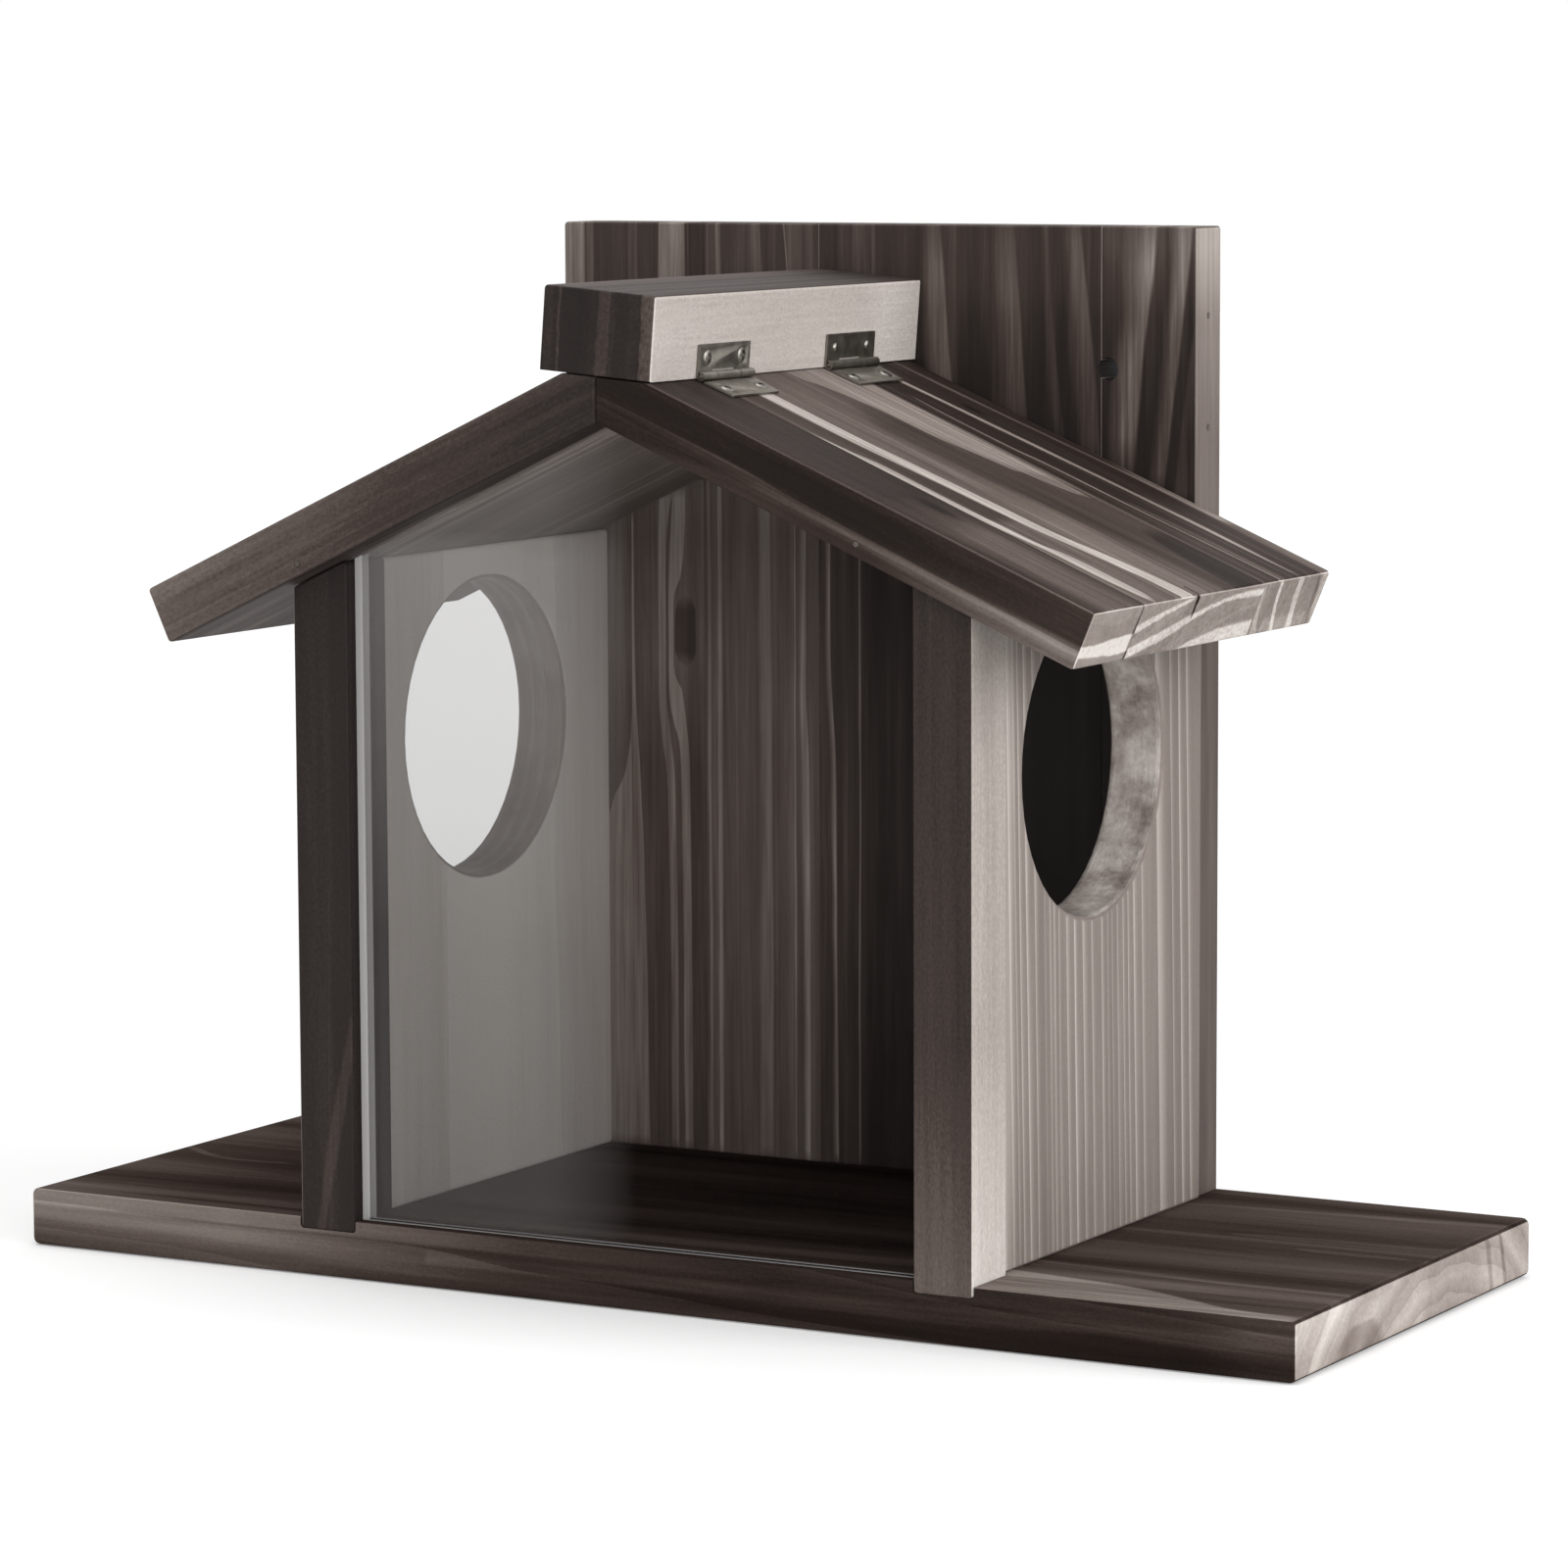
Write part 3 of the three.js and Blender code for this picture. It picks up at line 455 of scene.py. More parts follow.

# %% [markdown]
# Back board: four staves glued edge to edge, each from another board, so each has its own heart. A
# pale thread of glue shows in two of the joints. Below the roof the board is painted lighter, painted
# light that stands in for the dim light inside the house, and a painted shadow of the roof darkens it
# again, a little on the left and more towards the right. That patch of painted light begins where the
# roof hides the change, but a patch goes through the board's whole thickness, so from behind the
# change shows as a level line.

# %% Back board, left staves
# The first half space holds a painted shadow of the roof, below z = 195 mm; the second holds painted light,
# below z = 199 mm, that stands in for the dim light inside.
PAINTED_ROOF_SHADOW, PAINTED_INDOOR_LIGHT = beyond(DOWNWARD, -195, soft=12), beyond(DOWNWARD, -199, soft=1)
BACK = dict(along=Z, across=X, origin=(0, 0.06165, 0), relief=0.08, speckle=0.015)
dress(stained(
    "back_stave_1_wood", heart=(-150, 20), pitch=9.0, tone=0.27, ring=0.05, sharp=1.6, band=0.03,
    band_size=6.0, seed=21.0, wander=1.0, **BACK,
    bands=[
        ("ab", 0.28, (0.4, 0.8), [(195, -96, -87), (275, -96, -87.6)]),
        ("ab", 0.12, 0.4, [(195, -87.4, -85), (275, -87.6, -85)]),
        ("ab", 0.13, 0.5, [(195, -74.6, -71.4), (275, -74.8, -71.3)]),
        ("ab", 0.30, 0.6, [(199, -65.5, -56.5), (275, -65.2, -56.8)]),
        ("ab", 0.12, 0.4, [(199, -56.5, -55.4), (275, -56.8, -55.6)]),
        ("ab", 0.20, 0.3, [(14, -92, -69), (95, -84, -70.5), (110, -80.5, -71.2), (120, -76, -71.7),
                           (130, -74.7, -72.3), (150, -74.2, -73), (190, -74.1, -73.3)]),
        ("ab", 0.17, 0.4, [(14, -62.5, -60), (110, -63.2, -60.2), (130, -65, -62), (145, -65.8, -63.4),
                           (180, -65.6, -63), (197, -65.4, -60)]),
        ("ab", 0.20, 0.3, [(14, -58.4, -55.5), (120, -58.9, -56), (132, -61, -57), (141, -62.6, -58.3),
                           (150, -62.8, -60.8), (163, -62.8, -60.8), (172, -62.6, -58.6),
                           (185, -62, -57.2), (197, -61, -57)]),
        ("ab", -0.16, 0.5, [(147.5, -57.6, -57.2), (149.5, -59.8, -54.6), (153, -60.8, -54),
                            (162, -60.6, -54), (165.5, -59.4, -55), (167, -57.6, -57.2)])],
    patches=[
        # painted shadow of the roof, then painted light for the dim inside
        (0.28, beyond(LEFTWARD, 94.2)), (-0.06, PAINTED_ROOF_SHADOW), (0.24, PAINTED_INDOOR_LIGHT),
        # painted shade, darker towards the bottom inside the house
        (-0.10, beyond(DOWNWARD, -150, soft=30))]), "back_board_stave_1")
dress(stained(
    "back_stave_2_wood", heart=(-90, 20), pitch=6.0, tone=0.31, ring=0.05, sharp=2.0, band=0.04,
    band_size=6.0, seed=22.0, wander=1.0, **BACK,
    bands=[
        ("ab", 0.14, 0.4, [(14, -50.4, -49), (275, -50.4, -49.2)]),
        ("ab", 0.16, 0.3, [(14, -47.4, -45.8), (275, -47.2, -45.6)]),
        ("ab", 0.14, (1.5, 0.4), [(14, -35, -30.4), (200, -35, -30.6), (275, -37.4, -33.9)]),
        ("ab", 0.20, 0.25, [(14, -23.9, -23.1), (200, -23.9, -23.2), (275, -27.4, -26.6)]),
        ("ab", 0.22, (1.2, 0.3), [(14, -21.5, -18.8), (120, -22, -19), (150, -22.4, -20),
                                  (190, -22, -19.8)]),
        ("ab", 0.07, 1.0, [(200, -26, -17), (275, -26, -17)])],
    # painted shadow of the roof, then painted light for the dim inside
    patches=[(-0.05, PAINTED_ROOF_SHADOW), (0.17, PAINTED_INDOOR_LIGHT)]), "back_board_stave_2")

# %% [markdown]
# The right half of the board stands free above the roof, and there the pale bands lean outwards as
# they rise. They are soft on their left and crisp on their right, like real flat-sawn grain.

# %% Back board, right staves
dress(stained(
    "back_stave_3_wood", heart=(-60, 10), pitch=16.0, tone=0.22, ring=0.04, sharp=1.6, band=0.04,
    band_size=10.0, seed=23.0, wander=2.0, **BACK,
    bands=[
        ("ab", 0.22, (6.0, 0.8), [(200, 15, 26), (225, 15, 24.6), (242, 14.5, 23), (255, 14, 21.9),
                                  (275, 13, 20)]),
        ("ab", 0.20, (9.0, 0.8), [(195, 35, 48), (217, 34, 46.4), (235, 33, 45), (250, 32, 44),
                                  (275, 30, 42.2)]),
        ("ab", 0.18, (4.0, 0.8), [(200, 61, 68), (230, 58, 66), (243, 57, 64.7), (257, 56, 63),
                                  (275, 55, 60.8)]),
        ("ab", 0.10, (1.5, 0.6), [(205, 54, 58), (240, 51, 54), (275, 49.5, 52)]),
        ("ab", 0.08, 1.0, [(200, -6, 2), (275, -6, 2)]),
        ("ab", 0.30, (1.2, 0.3), [(14, -12.6, -10.5), (120, -12.8, -10.9), (140, -13.8, -12),
                                  (160, -14.3, -12.5), (190, -14.2, -12.3)]),
        ("ab", 0.26, 0.25, [(14, -4.4, -3.6), (190, -4, -3.2)])],
    patches=[
        (0.40, beyond(LEFTWARD, 15.6, soft=0.05), beyond(Z, 190)),
        # painted shadow of the roof, deeper towards the right, and painted light inside on the left
        (-0.12, beyond(X, -12, soft=12), PAINTED_ROOF_SHADOW), (-0.12, beyond(X, 20, soft=12), PAINTED_ROOF_SHADOW),
        (-0.12, beyond(DOWNWARD, -252, soft=40)), (0.22, PAINTED_INDOOR_LIGHT, beyond(LEFTWARD, -40, soft=40)),
        (0.05, beyond(Z, 244, soft=18)), (0.40, beyond(X, 67.45, soft=0.05), beyond(Z, 170))]),
    "back_board_stave_3")
dress(stained(
    "back_stave_4_wood", heart=(170, 20), pitch=16.0, tone=0.23, ring=0.04, sharp=1.6, band=0.04,
    band_size=8.0, seed=24.0, wander=2.0, **BACK,
    bands=[
        ("ab", 0.34, (6.0, 1.0), [(195, 67, 77), (222, 69, 79), (235, 71, 80.2), (245, 73, 81.6),
                                  (255, 73.5, 83), (275, 74, 84.8)]),
        ("ab", 0.26, (3.0, 0.8), [(195, 80, 85.5), (222, 83, 88.7), (232, 84, 90), (243, 85, 91.2),
                                  (255, 87, 92.6), (275, 88, 94.6)]),
        ("ab", 0.14, 1.0, [(195, 88, 94.4), (215, 90, 94.4), (240, 93, 94.6)])],
    patches=[
        (0.37, beyond(X, 94.2)), (0.13, beyond(Z, 244, soft=18)),
        # the last patch is a painted shadow of the roof
        (-0.12, beyond(DOWNWARD, -252, soft=40)), (-0.12, PAINTED_ROOF_SHADOW)]), "back_board_stave_4")

# %% [markdown]
# The roof's boards run down the slope, three or so side by side. Their streaks are what the eye
# meets first, so the largest are placed one by one, and the rings fill in the rest.

# %% Lid, front stave
LID = dict(along=DOWN_RIGHT, across=Y, origin=RIDGE)
LID_EAVE, LID_FRONT = beyond(DOWN_RIGHT, 147.5, RIDGE), beyond(FRONTWARD, 76.3)
LID_TOP = beyond(LID_NORMAL, -0.45, RIDGE)
LID_DEPTH = tuple(-v for v in LID_NORMAL)
# A painted highlight along the rounded top edge of each stave's eave end.
EAVE_EDGE_HIGHLIGHT = [(0.20, beyond(DOWN_RIGHT, 147.45, RIDGE, 0.2), beyond(LID_NORMAL, -0.6, RIDGE, 0.2))]
dress(stained(
    "lid_stave_1_wood", heart=(-60, 70), pitch=8.0, tone=0.145, ring=0.04, band=0.04, fibre=0.07,
    seed=31.0, gloss=0.06, knots=[(92, -58, 2.6)], **LID,
    bands=[
        ("ab", 0.22, 8.0, [(84, -76, -48), (120, -76, -48), (185, -76, -48)], LID_TOP),
        ("ac", 0.19, (2.5, 0.5), [(-20, -9.4, -9), (40, -10.8, -8.0), (70, -11.8, -8.9),
                                  (100, -12.4, -9.4), (150, -13, -10)], LID_FRONT),
        ("ac", 0.11, (0.5, 2.0), [(-20, -17, -16.6), (25, -17, -13), (70, -17, -8.9),
                                  (150, -17, -10)], LID_FRONT),
        ("cb", -0.35, 0.3, [(-17, -51.2, -49.5), (-6, -50.8, -49.5), (1, -50.2, -49.5)], LID_EAVE),
        ("bc", 0.36, 0.6, [(-78, -12.2, -8.8), (-66, -12.5, -8.3), (-58, -13, -7.6),
                           (-49, -12.5, -7.2)], LID_EAVE)],
    patches=[
        (0.50, LID_EAVE), (0.10, LID_FRONT, beyond(DOWN_RIGHT, 85, RIDGE, 55)),
        (0.18, LID_FRONT, beyond(DOWN_RIGHT, 90, RIDGE, 50), beyond(LID_DEPTH, 8.6, RIDGE, 1)),
        # painted highlights along the rounded top edges of the front and the eave
        (0.2, beyond(FRONTWARD, 76.25, soft=0.2), beyond(LID_NORMAL, -0.6, RIDGE, 0.2)), *EAVE_EDGE_HIGHLIGHT]),
    "lid_stave_1")

# %% [markdown]
# The middle stave has the two brightest streaks and a pale wedge under the rear hinge. On its eave the
# rings come out as arcs that rise to the right, and a drying crack opens its lower edge.

# %% Lid, middle stave
dress(stained(
    "lid_stave_2_wood", heart=(40, -150), pitch=5.0, tone=0.42, ring=0.05, band=0.06, seed=32.0,
    gloss=0.06, wander=2.0, fibre=0.12, **LID,
    bands=[
        ("ab", 0.38, 0.7, [(10, -40.5, -33), (50, -40.4, -32.8), (70, -39, -31.5), (95, -36.6, -30),
                           (110, -34.6, -29), (120, -32.6, -26.3), (130, -30.6, -23.9), (140, -29, -22.4),
                           (151, -29, -21.8)], LID_TOP),
        ("ab", 0.34, (0.4, 0.8), [(44, -50.4, -49.9), (60, -50.5, -47.6), (72, -50.6, -45.2),
                                  (90, -50.6, -45.5), (103, -49.6, -45.2), (113, -47.8, -44.6),
                                  (121, -47, -41.8), (130, -47, -41), (140, -46, -41),
                                  (149, -44, -42.6)], LID_TOP),
        ("ab", 0.12, 0.3, [(124, -39.6, -38.8), (149, -39.4, -38.4)], LID_TOP),
        ("ab", 0.20, (0.6, 0.4), [(8, -10, 19.4), (20, -8.6, 19.2), (27, -5, 19), (35, -2.4, 18.8),
                                  (41, -0.7, 18.7), (50, -0.1, 18.6), (57, 0.4, 18.4), (67, 3, 18.2),
                                  (79, 6.2, 18), (80.5, 8, 18), (90, 11, 17.4),
                                  (98, 15.5, 16.6)], LID_TOP),
        ("ab", -0.12, 5.0, [(36, -14, 3), (55, -18, 5), (72, -18, 9), (95, -14, 24), (120, -8, 26),
                            (170, -6, 26)], LID_TOP),
        ("ab", -0.14, 2.0, [(114, 9, 19.2), (134, 3, 19.6), (170, -2, 20)], LID_TOP),
        ("ab", -0.13, 1.5, [(22, -49.5, -39), (60, -49, -38.5), (90, -48, -35), (104, -47, -34)], LID_TOP),
        ("ab", 0.07, 6.0, [(90, -30, -12), (120, -28, -10), (160, -24, -8)], LID_TOP),
        ("ab", 0.16, 0.3, [(84, 17.9, 18.9), (120, 18.2, 19.3), (150, 18.7, 19.8)], LID_TOP),
        ("bc", 0.28, 0.6, [(-50.4, -8.4, -5.4), (-42, -6.3, -3.6), (-36, -4.7, -2.5), (-29, -3.1, -1.2),
                           (-21, -1.6, -0.2)], LID_EAVE),
        ("bc", 0.30, 0.7, [(-50.4, -15.2, -11.4), (-40, -13, -9.3), (-31, -11.3, -7.5), (-24, -9.2, -5.9),
                           (-18, -7.2, -4.6), (-10, -5.4, -3.2), (-2.5, -4, -2.1), (8, -3.6, -1.3),
                           (21, -3.6, -1)], LID_EAVE),
        ("cb", -0.5, 0.35, [(-6.6, -19.6, -18.6), (-4, -20.1, -18.4), (1, -20.4, -18.2)], LID_EAVE),
        ("bc", 0.29, (0.3, 0.8), [(-29, -16.4, -15.6), (-20, -17, -13.7), (-10, -17, -11.8),
                                  (0, -17, -10.4), (10, -17, -9.9), (21, -17, -9.7)], LID_EAVE)],
    patches=[(0.22, LID_EAVE), *EAVE_EDGE_HIGHLIGHT]), "lid_stave_2")

# %% [markdown]
# The rear stave is dark with one long pale line that passes a pin knot.

# %% Lid, rear stave
dress(stained(
    "lid_stave_3_wood", heart=(170, -40), pitch=7.5, tone=0.155, ring=0.06, sharp=4.0, band=0.03,
    seed=33.0, gloss=0.06, wander=1.2, knots=[(46, 42.5, 1.6)], **LID,
    bands=[
        ("ab", 0.42, 0.5, [(8, 32, 34.8), (30, 33.7, 36.7), (50, 35.2, 38.1), (75, 36.9, 39.5),
                           (105, 38.3, 41.1), (122, 38.9, 42), (136, 39.3, 41.4),
                           (149, 39.7, 40.7)], LID_TOP),
        ("ab", 0.34, 0.35, [(34, 26.2, 27), (55, 24.4, 26), (66, 24.5, 26), (78, 25.6, 27.3),
                            (105, 26.2, 27.8), (151, 28, 29.6)], LID_TOP),
        ("ab", 0.16, 0.8, [(100, 28, 29.5), (122, 28.6, 31.6), (151, 29.4, 31.8)], LID_TOP),
        ("ab", 0.22, 0.8, [(12, 48, 51), (40, 49.4, 52.2), (60, 50.8, 53.7), (90, 52.8, 56),
                           (120, 54, 58)], LID_TOP),
        ("ab", 0.20, (3.0, 1.0), [(80, 54, 60), (110, 52, 60), (160, 51, 60)], LID_TOP),
        ("ab", 0.08, 10.0, [(95, 4, 76), (125, 4, 76), (200, 4, 76)], LID_TOP),
        ("cb", 0.28, 0.5, [(-16, 34, 36.6), (-10, 31, 33.4), (-5, 29.3, 31.6), (0, 28.9, 31.2)], LID_EAVE),
        ("cb", 0.24, 0.5, [(-16, 43.4, 47), (-6, 40.5, 44), (0, 40, 43.5)], LID_EAVE),
        ("cb", 0.16, 0.5, [(-16, 22, 26.8), (-8, 20, 22.5), (0, 19.5, 21)], LID_EAVE),
        ("cb", -0.12, 0.6, [(-16, 55, 58.5), (-7, 53, 55.5), (0, 51.5, 53.4)], LID_EAVE),
        ("cb", 0.14, 2.0, [(-17, 55, 62), (1, 53.5, 62)], LID_EAVE),
        ("bc", 0.12, 2.5, [(26, -19, -9.5), (53, -19, -9.5)], LID_EAVE)],
    patches=[(0.46, LID_EAVE), *EAVE_EDGE_HIGHLIGHT]), "lid_stave_3")

# %% [markdown]
# The left half shows little more than its front edge and its underside. The strip of the underside
# in front of the window is dark, and the part behind the window is lighter.

# %% Left roof half
LEFT = dict(along=DOWN_LEFT, across=FRONTWARD, origin=RIDGE)
LEFT_EAVE = beyond(DOWN_LEFT, 147.3, RIDGE)
LEFT_UNDER = beyond([-v for v in LEFT_NORMAL], 14.6, RIDGE)
INSIDE_LEFT = beyond(X, -97)
FRONT_MARKS = [
    ("ab", 0.12, 2.0, [(2, 50, 62.5), (150, 50, 62.5)], LEFT_UNDER, INSIDE_LEFT),
    ("ab", -0.12, 0.5, [(-4, 65.5, 77.5), (155, 65.5, 77.5)], LEFT_UNDER),
    ("ab", 0.08, 0.8, [(96, 60, 63), (155, 60, 63)], LEFT_UNDER)]
FRONT_PATCHES = [(-0.15, LID_FRONT), (0.35, LID_FRONT, beyond(LEFTWARD, 0, soft=150))]
for index, (near, shade) in enumerate(((60, 0.33), (10, 0.42), (-60, 0.34)), start=1):
    foremost = index == 1
    dress(stained(
        f"left_roof_stave_{index}_wood", heart=(near, -90 - 20 * index), pitch=6.0, tone=shade,
        ring=0.10, band=0.05, speckle=0.10 if foremost else 0.03, seed=40.0 + index, relief=0.25,
        bands=FRONT_MARKS if foremost else [],
        patches=[
            (0.4, LEFT_EAVE), (0.18, LEFT_UNDER, INSIDE_LEFT, beyond(Y, -66)),
            *(FRONT_PATCHES if foremost else [])],
        **LEFT), f"left_roof_stave_{index}")

# %% [markdown]
# The ridge block was sawn with its rings on edge, so its end shows upright bands.

# %% Ridge block
BLOCK_RIGHT, BLOCK_TOP = beyond(ACROSS_BLOCK, 15.5, BLOCK_FOOT), beyond(BLOCK_NORMAL, 20.7, BLOCK_FOOT)
dress(stained(
    "ridge_block_wood", FRONTWARD, ACROSS_BLOCK, origin=BLOCK_FOOT, heart=(-130, 8), pitch=7.5, tone=0.15,
    ring=0.04, sharp=1.5, band=0.03, band_size=4.0, fibre=0.04, speckle=0.09, wander=1.0, seed=51.0,
    relief=1.6,
    bands=[
        ("cb", 0.16, 0.3, [(-1, -11.5, -10.6), (22, -11.5, -10.6)], LID_FRONT),
        ("cb", -0.04, 0.5, [(-1, -10.5, -0.4), (22, -10.5, 0)], LID_FRONT),
        ("cb", 0.12, 0.4, [(-1, -0.5, 3.4), (22, -0.2, 3.6)], LID_FRONT),
        ("cb", 0.20, 0.4, [(-1, 11.9, 16.5), (22, 12, 16.5)], LID_FRONT),
        ("ab", 0.10, 2.0, [(-62, -16, -6), (0, -16, -5), (77, -16, -6)], BLOCK_TOP)],
    patches=[
        (0.70, BLOCK_RIGHT), (0.06, BLOCK_RIGHT, beyond(Y, 30, soft=12)), (0.06, BLOCK_TOP),
        (-0.05, BLOCK_TOP, beyond(Y, 20, soft=30))]), "ridge_block")

# %% [markdown]
# The window is a clear sheet. On its left a painted reflection, a grey film laid on with alpha, darker
# low and lighter high, stands for the bright room mirrored in it and dims the inside, and on its right
# it is as good as unseen. Its cut edges are painted as pale lines, a painted highlight like the light
# that the edge of any clear plastic catches. A plain shader with a varying alpha does all of that at
# little cost.

# %% Clear window
WINDOW_HALF, WINDOW_FOOT, EDGE_BLUR = 0.0806, 0.0155, 0.0003
LEFT_EDGE, RIGHT_EDGE = 0.0024, 0.0004
REFLECTION_ALPHA, REFLECTION_FADE = 0.26, 0.026
ROOF_LINE, ROOF_FADE = 0.187, 0.006
EDGE_ALPHA = 0.72


def clear_sheet():
    """A sheet with a painted reflection in its alpha on its left, none on its right, and a painted
    highlight of high alpha along its cut edges.
    """
    f = Finish("clear_window")
    point = f.node("ShaderNodeTexCoord", out="Object")
    parts = f.tree.nodes.new("ShaderNodeSeparateXYZ")
    f.plug(point, parts.inputs[0])
    x, z = Wire(f, parts.outputs[0]), Wire(f, parts.outputs[2])
    # Painted highlight: pale bands of high alpha along the cut edges, 2.4 mm wide on the left, 0.4 mm on
    # the right, and along the foot.
    left = ((x + (WINDOW_HALF - LEFT_EDGE)) / -EDGE_BLUR).clamped()
    right = ((x - (WINDOW_HALF - RIGHT_EDGE)) / EDGE_BLUR).clamped()
    foot = ((WINDOW_FOOT - z) / 0.0004).clamped()
    edge = left.maths("MAXIMUM", right).maths("MAXIMUM", foot)
    # Painted reflection of the room: alpha on the left that fades out to the right and is cut back above
    # the roof line, in a grey that is dark low and light high.
    under_roof = ((z - ROOF_LINE) / ROOF_FADE).clamped() * 0.6
    painted_reflection = (x / -REFLECTION_FADE).clamped() * (REFLECTION_ALPHA - under_roof * REFLECTION_ALPHA)
    alpha = painted_reflection + edge * (EDGE_ALPHA - painted_reflection)
    height = ((z - 0.09) / 0.12).clamped()
    reflection_colour = f.node("ShaderNodeMix", {"data_type": "RGBA"}, {
        "Factor": height, 6: (*linear(84, 80, 77), 1), 7: (*linear(168, 164, 161), 1)}, 2)
    colour = f.node("ShaderNodeMix", {"data_type": "RGBA"}, {
        "Factor": edge, 6: reflection_colour, 7: (*linear(190, 188, 186), 1)}, 2)
    f.shade(base_color=colour, alpha=alpha, roughness=0.06)
    return f.material


dress(clear_sheet(), "acrylic_window")

# %% [markdown]
# The hinges are pressed from nickel-plated sheet, satin and a little warm, and the screws are the
# same metal a shade brighter. Rolling leaves faint lines in the sheet, drawn out along each leaf.

# %% Steel finishes
def steel(name, colour, roughness, brushed):
    """Metal with fine lines: noise that changes 20 times slower along y than across it."""
    f = Finish(name)
    point = f.node("ShaderNodeTexCoord", out="Object")
    lines = f.node("ShaderNodeVectorMath", {"operation": "MULTIPLY"}, {0: point, 1: (9000, 450, 9000)})
    brush = f.node("ShaderNodeTexNoise", {}, {"Vector": lines, "Scale": 1.0, "Detail": 3.0}) - 0.5
    cloud = f.node("ShaderNodeTexNoise", {}, {"Vector": point, "Scale": 350.0, "Detail": 2.0}) - 0.5
    tone = f.node("ShaderNodeMix", {"data_type": "RGBA"}, {
        "Factor": (cloud * 1.6 + 0.5 + brush * 0.4).clamped(), 6: (*linear(*[s - 26 for s in colour]), 1),
        7: (*linear(*colour), 1)}, 2)
    bump = f.node("ShaderNodeBump", {}, {"Strength": 0.35, "Distance": 0.00005, "Height": brush})
    matt = brush * brushed + cloud * 0.2 + roughness
    return f.shade(base_color=tone, metallic=1.0, roughness=matt, normal=bump)


leaf_steel = steel("nickel_leaf", (146, 141, 133), 0.38, 0.15)
screw_steel = steel("screw_steel", (150, 146, 140), 0.34, 0.1)
nail_steel = steel("nail_steel", (104, 97, 91), 0.55, 0.1)
for name in nodes:
    if name.endswith("_leaf") or name.endswith("_pin"):
        dress(leaf_steel, name)
    elif "nail" in name:
        dress(nail_steel, name)
    elif "screw" in name:
        dress(screw_steel, name)

# %% [markdown]
# A rolled knuckle and a screw head are round, but their CAD meshes are built of flat facets. A copy
# of each is shown in their place: its doubled corner points are merged, every face shades smoothly,
# and only edges where the faces meet at a real angle stay crisp.

# %% Smooth copies of the hardware
def smooth_copy(source, crisp_degrees=38):
    """A copy of a CAD part that replaces it, with soft shading across facets that meet below that angle."""
    part = nodes[source]
    mesh = bmesh.new()
    mesh.from_mesh(part.data)
    bmesh.ops.remove_doubles(mesh, verts=mesh.verts, dist=1e-6)
    for face in mesh.faces:
        face.smooth = True
    for edge in mesh.edges:
        edge.smooth = len(edge.link_faces) == 2 and edge.calc_face_angle() < math.radians(crisp_degrees)
    data = bpy.data.meshes.new(source + "_smooth")
    mesh.to_mesh(data)
    mesh.free()
    data.materials.append(part.data.materials[0])
    copy = bpy.data.objects.new(source + "_smooth", data)
    bpy.context.scene.collection.objects.link(copy)
    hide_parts(source)
    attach(copy, "lid" if "moving_leaf" in source else "house")
    return copy


smoothed = [smooth_copy(name) for name in nodes if name.startswith(("front_hinge", "rear_hinge"))]
print("smooth copies:", len(smoothed))

# %% [markdown]
# The set is a plain pale floor and soft light from all round, a little stronger from the right, so
# that a shade renders about as it is written. The backdrop looks white to the camera, to mirrors
# and through clear things by its own colour, and never by more light on the object.

# %% Floor, world and lamps
FLOOR_HALF, FLOOR_DROP, FADE_START, FADE_LENGTH = 6.0, 0.0003, 0.45, 0.5
world = bpy.data.worlds.new("studio")
bpy.context.scene.world = world
world.use_nodes = True
tree = world.node_tree
tree.nodes.clear()
paths = tree.nodes.new("ShaderNodeLightPath")


def seen_directly(tree, paths):
    """1 for rays that go to the camera, a mirror or a clear thing, and 0 for light on the object."""
    total = paths.outputs["Is Camera Ray"]
    for name in ("Is Glossy Ray", "Is Transmission Ray"):
        plus = tree.nodes.new("ShaderNodeMath")
        plus.operation, plus.use_clamp = "ADD", True
        tree.links.new(total, plus.inputs[0])
        tree.links.new(paths.outputs[name], plus.inputs[1])
        total = plus.outputs[0]
    return total


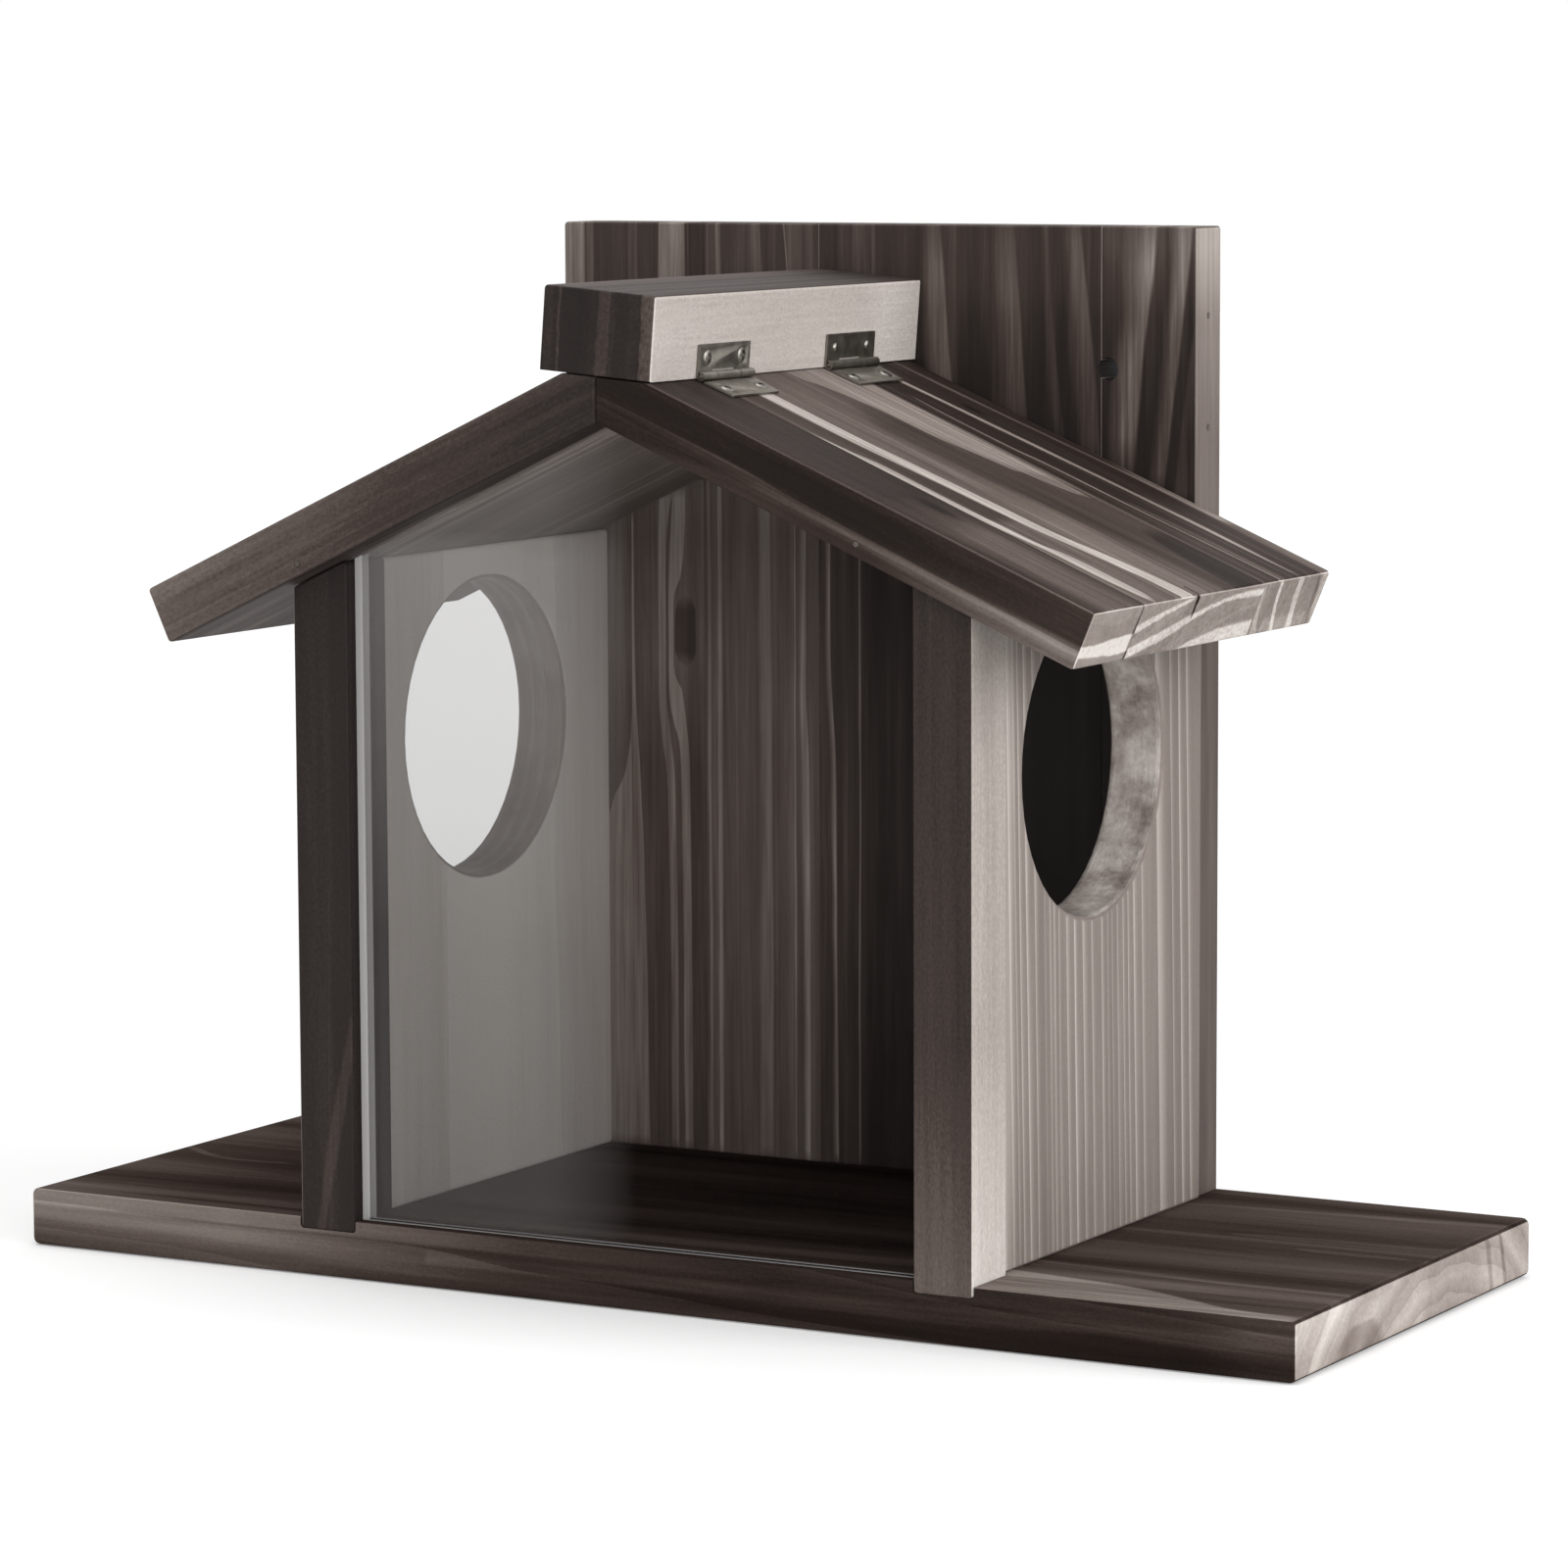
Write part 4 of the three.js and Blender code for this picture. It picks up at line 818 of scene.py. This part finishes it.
def light_sky(tree, lit, shown):
    """World background: strength lit for diffuse light, shown where it is looked at."""
    strength = tree.nodes.new("ShaderNodeMapRange")
    strength.inputs["To Min"].default_value, strength.inputs["To Max"].default_value = lit, shown
    tree.links.new(seen_directly(tree, paths), strength.inputs["Value"])
    sky = tree.nodes.new("ShaderNodeBackground")
    tree.links.new(strength.outputs[0], sky.inputs["Strength"])
    sky.inputs["Color"].default_value = (1, 1, 1, 1)
    out = tree.nodes.new("ShaderNodeOutputWorld")
    tree.links.new(sky.outputs[0], out.inputs["Surface"])


light_sky(tree, 0.36, 1.0)

floor_mesh = bpy.data.meshes.new("floor")
corners = np.array([[-1, -1, 0], [1, -1, 0], [1, 1, 0], [-1, 1, 0]], float) * FLOOR_HALF
corners[:, 2] = -FLOOR_DROP
floor_mesh.from_pydata(corners.tolist(), [], [(0, 1, 2, 3)])
floor = bpy.data.objects.new("floor", floor_mesh)
bpy.context.scene.collection.objects.link(floor)
paper = Finish("pale_floor")
paper.shade(roughness=0.9)
light_paths = paper.tree.nodes.new("ShaderNodeLightPath")
ground = paper.node("ShaderNodeTexCoord", out="Object")
reach = paper.node("ShaderNodeVectorMath", {"operation": "LENGTH"}, {0: ground}, "Value")
far = ((reach - FADE_START) / FADE_LENGTH).clamped()
glow = Wire(paper, seen_directly(paper.tree, light_paths)) * (far * 0.8 + 0.2)
paper.plug(paper.node("ShaderNodeMix", {"data_type": "RGBA"}, {
    "Factor": far, 6: (0.86, 0.86, 0.86, 1), 7: (0, 0, 0, 1)}, 2), paper.shader.inputs["Base Color"])
paper.shade(emission_color=(1, 1, 1, 1), emission_strength=glow)
floor.data.materials.append(paper.material)


def soft_lamp(name, place, aim, size, power):
    """A square area lamp that looks from place to aim."""
    lamp = bpy.data.lights.new(name, "AREA")
    lamp.shape, lamp.size, lamp.energy = "SQUARE", size, power
    holder = bpy.data.objects.new(name, lamp)
    bpy.context.scene.collection.objects.link(holder)
    way = Vector(aim) - Vector(place)
    holder.matrix_world = Matrix.Translation(place) @ way.to_track_quat("-Z", "Y").to_matrix().to_4x4()
    return holder


soft_lamp("right_window", (1.9, 0.1, 0.9), (0, 0, 0.12), 1.4, 22)
soft_lamp("overhead", (-0.2, -0.1, 2.2), (0, 0, 0), 1.6, 26)
soft_lamp("front_fill", (1.0, -1.9, 0.45), (0, 0, 0.12), 1.2, 14)
soft_lamp("side_fill", (2.0, -1.5, 0.5), (0, 0, 0.12), 1.0, 15)

bpy.context.scene.view_settings.view_transform = "Standard"
